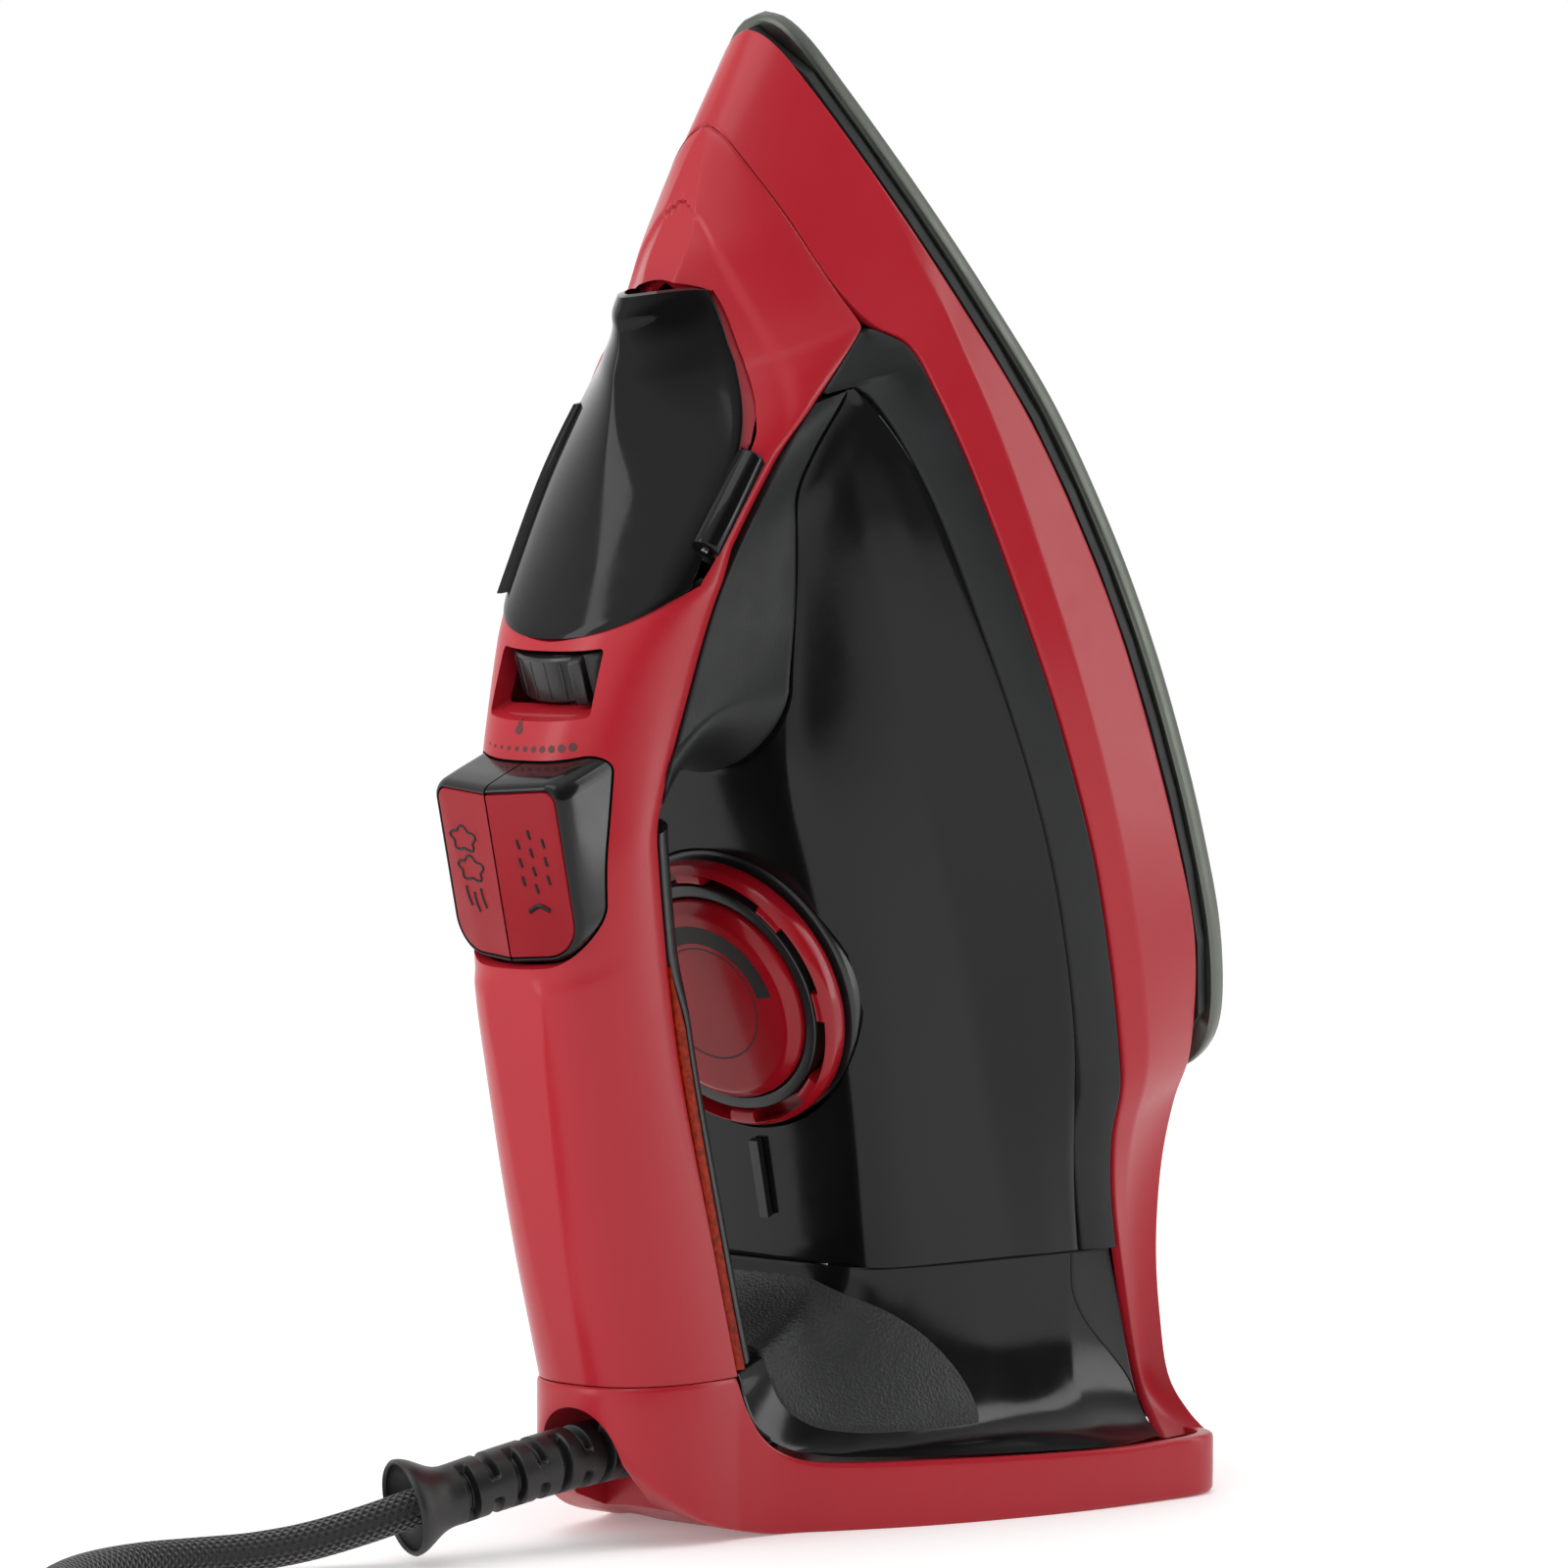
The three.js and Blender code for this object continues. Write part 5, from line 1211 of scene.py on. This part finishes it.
DECK_RIM = edge([
    (59.2, -50.4, 11.6), (40, -53.4, 12.2), (22, -47.4, 12.8), (6, -40.4, 13.4), (-8, -33, 14),
    (-18, -26.8, 14.8), (-27, -21.8, 17.2), (-33.6, -19.6, 22.2), (-35.6, -18.6, 27.8),
    (-37, -18, 32.8), (-37.2, -9, 34.2), (-37.2, 0, 34.8)])
DECK_WALL = edge([
    (54.6, -40.6, DECK_TOP), (47, -38.6, DECK_TOP), (31, -34.6, DECK_TOP), (18, -31, DECK_TOP),
    (7, -27, DECK_TOP), (-1, -22.6, DECK_TOP), (-3.4, -18, DECK_TOP), (-4, 0, DECK_TOP)])


def deck_point(t, rise, inset=0.0):
    """The rear housing flares from the base's edge (rise 0) up to the tank's rear section (rise 1)."""
    t, rise = np.broadcast_arrays(t, rise)
    rim, wall = DECK_RIM(t), DECK_WALL(t)
    steep = mix(4.2, 2.1, smooth((t - 0.3) / 0.35))
    flat = 1 - (1 - rise) ** steep
    beside_skirt = 5.9 * np.sin(math.pi * rise ** 0.8) * np.maximum(1 - 8 * t, 0)
    x = mix(rim[..., 0], wall[..., 0], flat) + beside_skirt + inset * 0.5 * smooth((20 - rim[..., 0]) / 40)
    y = np.minimum(mix(rim[..., 1], wall[..., 1], flat) + inset, 0)
    z = mix(rim[..., 2], wall[..., 2], rise ** 1.25) - inset * 0.8 * np.sin(math.pi * rise)
    return world(x, y, z)


def rear_housing():
    rows, columns = np.linspace(0, 1, 160)[:, None], np.linspace(0, 1, 60)[None, :]
    skins = [mirrored(deck_point(rows, columns, inset)) for inset in (0.0, WALL)]
    return sheet("housing", *skins, rim=0.15)


dress(rear_housing(), GLOSS, replaces=("rear_housing",))


def trim_tail(side):
    """The trim's band runs out to a point down the rear housing."""
    drop = np.linspace(0.28, 0.985, 60)[:, None]
    width = 0.115 * smooth((drop - 0.28) / 0.6)
    t = 0.003 + np.linspace(0, 1, 12)[None, :] * width
    grids = [deck_point(t, drop, inset) * [1, side, 1] for inset in (-0.2, 0.6)]
    return sheet("trim_tail", *grids, rim=0.05)


for side in (1, -1):
    dress(trim_tail(side), MATTE)


def grip_pad():
    """The grained saddle on the rear housing below the handle."""
    t = np.linspace(0.4, 1, 160)
    reach = np.sin(math.pi * np.minimum((t - 0.398) / 0.8, 0.5)) ** 0.6
    across = np.linspace(-1, 1, 60)[None, :]

    def skin(lift):
        v = 0.2 + (0.3 + across * 0.34) * reach[:, None]
        border = np.minimum(1 - np.abs(across), 1) * 22 * reach[:, None]
        rise = lift * smooth(border / 0.9)
        p = deck_point(t[:, None], v)
        return p + np.stack([-0.5 * rise, 0 * rise, rise], -1)

    return sheet("grip", mirrored(skin(0.9)), mirrored(skin(-0.5)), rim=0.1)


dress(grip_pad(), GRIP, replaces=("heel_grip_pad",))


# ---------- the soleplate ----------
def sole_outline(inset=0.0, count=150):
    p = SOLE_EDGE(np.linspace(0, 1, count))
    wide = 1 - inset / SOLE_HALF
    long = 1 - 1.3 * inset / (SOLE_TIP - SOLE_MIDDLE)
    half = np.stack([p[:, 1] * wide, SOLE_MIDDLE + (p[:, 0] - SOLE_MIDDLE) * long], 1)
    return both_sides(half, [-1, 1])


def soleplate():
    """A plate with a rounded edge and steam holes along its border and in its front."""
    steps = ((9, 0), (1.4, 0), (0.7, 0.2), (0.2, 0.7), (0, 1.3), (0, 3.6), (0.15, 4.2),
             (0.5, SOLE_THICK), (9, SOLE_THICK))
    loops = []
    for inset, rise in steps:
        o = sole_outline(inset)
        loops.append(at(o[:, 1], o[:, 0], rise))
    holes = []
    for l in np.linspace(122, 286, 15):
        reach = 49 * math.sqrt(max(1 - ((l - 118) / 186) ** 2, 0))
        holes += [(reach, l), (-reach, l)]
    holes += [(0, 240), (0, 285), (8, 262), (-8, 262), (9, 226), (-9, 226)]
    hole = [(0, -1), (2.6, -1), (1.5, 1.1), (1.5, 6), (0, 6)]
    work = [turned("steam", hole, at(l, a, 0), UP, 20) for a, l in holes]
    return cut(loft("sole", loops, 40), join("holes", *work), sharp=40)


dress(soleplate(), SOLE, replaces=("soleplate",))


# ---------- the dial ----------
DIAL = at(DIAL_ALONG, 0, 0)


def dial_turned(name, profile, radius=0.5):
    return turned(name, rounded(profile, radius), DIAL, UP, 128)


def dial_ring():
    """A thick ring with eight slots through its face."""
    ring = dial_turned("ring", [
        (24.5, 79.5), (24.5, 76.8), (27.4, 76.8), (DIAL_RING, 78.4), (DIAL_RING, 81.4), (26.9, 83),
        (25, 83), (24.5, 82), (24.5, 79.6)], 0.7)
    arc = np.radians(np.linspace(-16, 16, 14))
    corners = [(26.9, a) for a in arc] + [(23, a) for a in arc[::-1]]
    tools = []
    for i in range(8):
        middle = math.radians(22 + 45 * i)
        outline = [[r * math.sin(a + middle), DIAL_ALONG + r * math.cos(a + middle)] for r, a in corners]
        tools.append(prism("slot", outline, 78.2, 90))
    return cut(ring, join("slots", *tools), sharp=32)


def dial_marks():
    """A dark arc and a fine circle, printed on the cap's top."""
    low, high = DIAL_FACE - 0.2, DIAL_FACE + 0.03

    def sector(name, inner, outer, start, end, count):
        a = np.radians(np.linspace(start, end, count))
        corners = ((inner, low), (outer, low), (outer, high), (inner, high))
        grid = np.array([at(DIAL_ALONG + r * np.cos(a), r * np.sin(a), h) for r, h in corners])
        faces = quads(4, count, wrap_rows=True)
        faces.append([k * count for k in range(4)])
        faces.append([k * count - 1 for k in (4, 3, 2, 1)])
        return mesh_object(name, grid.reshape(-1, 3), faces)

    arc = sector("arc", 12.9, 16.6, -82, 104, 90)
    line = sector("line", 11.7, 12.0, 0, 359.5, 120)
    return join("dial_print", arc, line)


HUB = [(0, 76.6), (24.2, 76.6), (24.2, 82.4), (21.6, 82.4), (21.6, 80.6), (0, 80.6)]
CAP = [(0, 81), (DIAL_CAP, 81), (DIAL_CAP, 83.2), (DIAL_CAP - 2.2, DIAL_FACE), (0, DIAL_FACE)]
COLLAR = [(27.4, 72.4), (29.1, 72.4), (29.1, 75.4), (28.5, 76), (4.4, 76), (4.4, 74), (27.4, 74),
          (27.4, 72.5)]
dress(dial_turned("hub", HUB), SATIN, "dial", ("dial_hub",))
dress(dial_turned("cap", CAP, 0.7), CLEAR_RED, "dial", ("dial_cap",))
dress(dial_ring(), CLEAR_RED, "dial", ("dial_ring",))
dress(dial_marks(), MARK_BLACK, "dial")
dress(dial_turned("collar", COLLAR, 1.0), SATIN, replaces=("dial_collar",))

# ---------- the CAD's own pieces that show, and the works inside ----------
nodes = frame["nodes"]
OWN = (
    (MATTE, "sole_seal rear_bottom_cover"),
    (RED, "lid_tray"),
    (SATIN, "fill_spout dial_pointer"),
    (SMOKED, "tank_floor"),
    (BRASS, "steam_valve_rod dial_shaft plug_blade_1 plug_blade_2"),
    (CAST, "heater_block steam_chamber_cover"),
    (STEEL, "heating_element heel_screw_right heel_screw_left steam_spring spray_spring"),
    (PALE, "thermostat thermal_fuse terminal_block cord_clamp"),
    (PALE, "steam_plunger spray_plunger steam_pump spray_pump"),
)
for material, names in OWN:
    for name in names.split():
        for slot in nodes[name].material_slots:
            slot.material = material
for name in ("dial_pointer", "fill_spout", "plug_blade_1", "plug_blade_2"):
    bevelled(nodes[name], 0.3)

# ---------- floor and light ----------
FLOOR_HALF = 6
floor = placed("floor", bpy.data.meshes.new("floor"))
corners = [(x * FLOOR_HALF, y * FLOOR_HALF, 0) for x, y in ((-1, -1), (1, -1), (1, 1), (-1, 1))]
floor.data.from_pydata(corners, [], [(0, 1, 2, 3)])
floor.data.materials.append(FLOOR)

RIGHT = Vector((math.cos(AZIMUTH), -math.sin(AZIMUTH), 0))


def softbox(name, right, back, up, size, power):
    light = placed(name, bpy.data.lights.new(name, "AREA"))
    light.data.shape = "RECTANGLE"
    light.data.size, light.data.size_y = size
    light.data.energy = power
    light.location = Vector(AIM) + RIGHT * right + Vector((BACK.x, BACK.y, 0)) * back
    light.location.z += up
    light.rotation_euler = (light.location - Vector(AIM)).to_track_quat("Z", "Y").to_euler()


softbox("left_box", -1.3, 0.7, 0.5, (0.5, 1.6), 7)
softbox("right_box", 1.4, -0.1, 0.35, (0.35, 1.7), 7)
softbox("top_box", -0.2, 0.5, 1.5, (1.2, 0.8), 5)

# A white cyclorama all round, with the dark of the room at the right and behind the camera.
sky = bpy.data.worlds.new("studio")
scene.world = sky
sky.use_nodes = True
tree = sky.node_tree
place = tree.nodes.new("ShaderNodeTexCoord")
facing = tree.nodes.new("ShaderNodeNormal")
facing.outputs["Normal"].default_value = (RIGHT * 0.86 + BACK * 0.5).normalized()
shades = tree.nodes.new("ShaderNodeValToRGB")
shades.color_ramp.elements[0].position = 0.3
shades.color_ramp.elements[0].color = (1, 1, 1, 1)
shades.color_ramp.elements[1].position = 0.8
shades.color_ramp.elements[1].color = (0.12, 0.12, 0.12, 1)
tree.links.new(place.outputs["Generated"], facing.inputs["Normal"])
tree.links.new(facing.outputs["Dot"], shades.inputs["Fac"])
tree.links.new(shades.outputs["Color"], tree.nodes["Background"].inputs["Color"])
tree.nodes["Background"].inputs["Strength"].default_value = 1.02
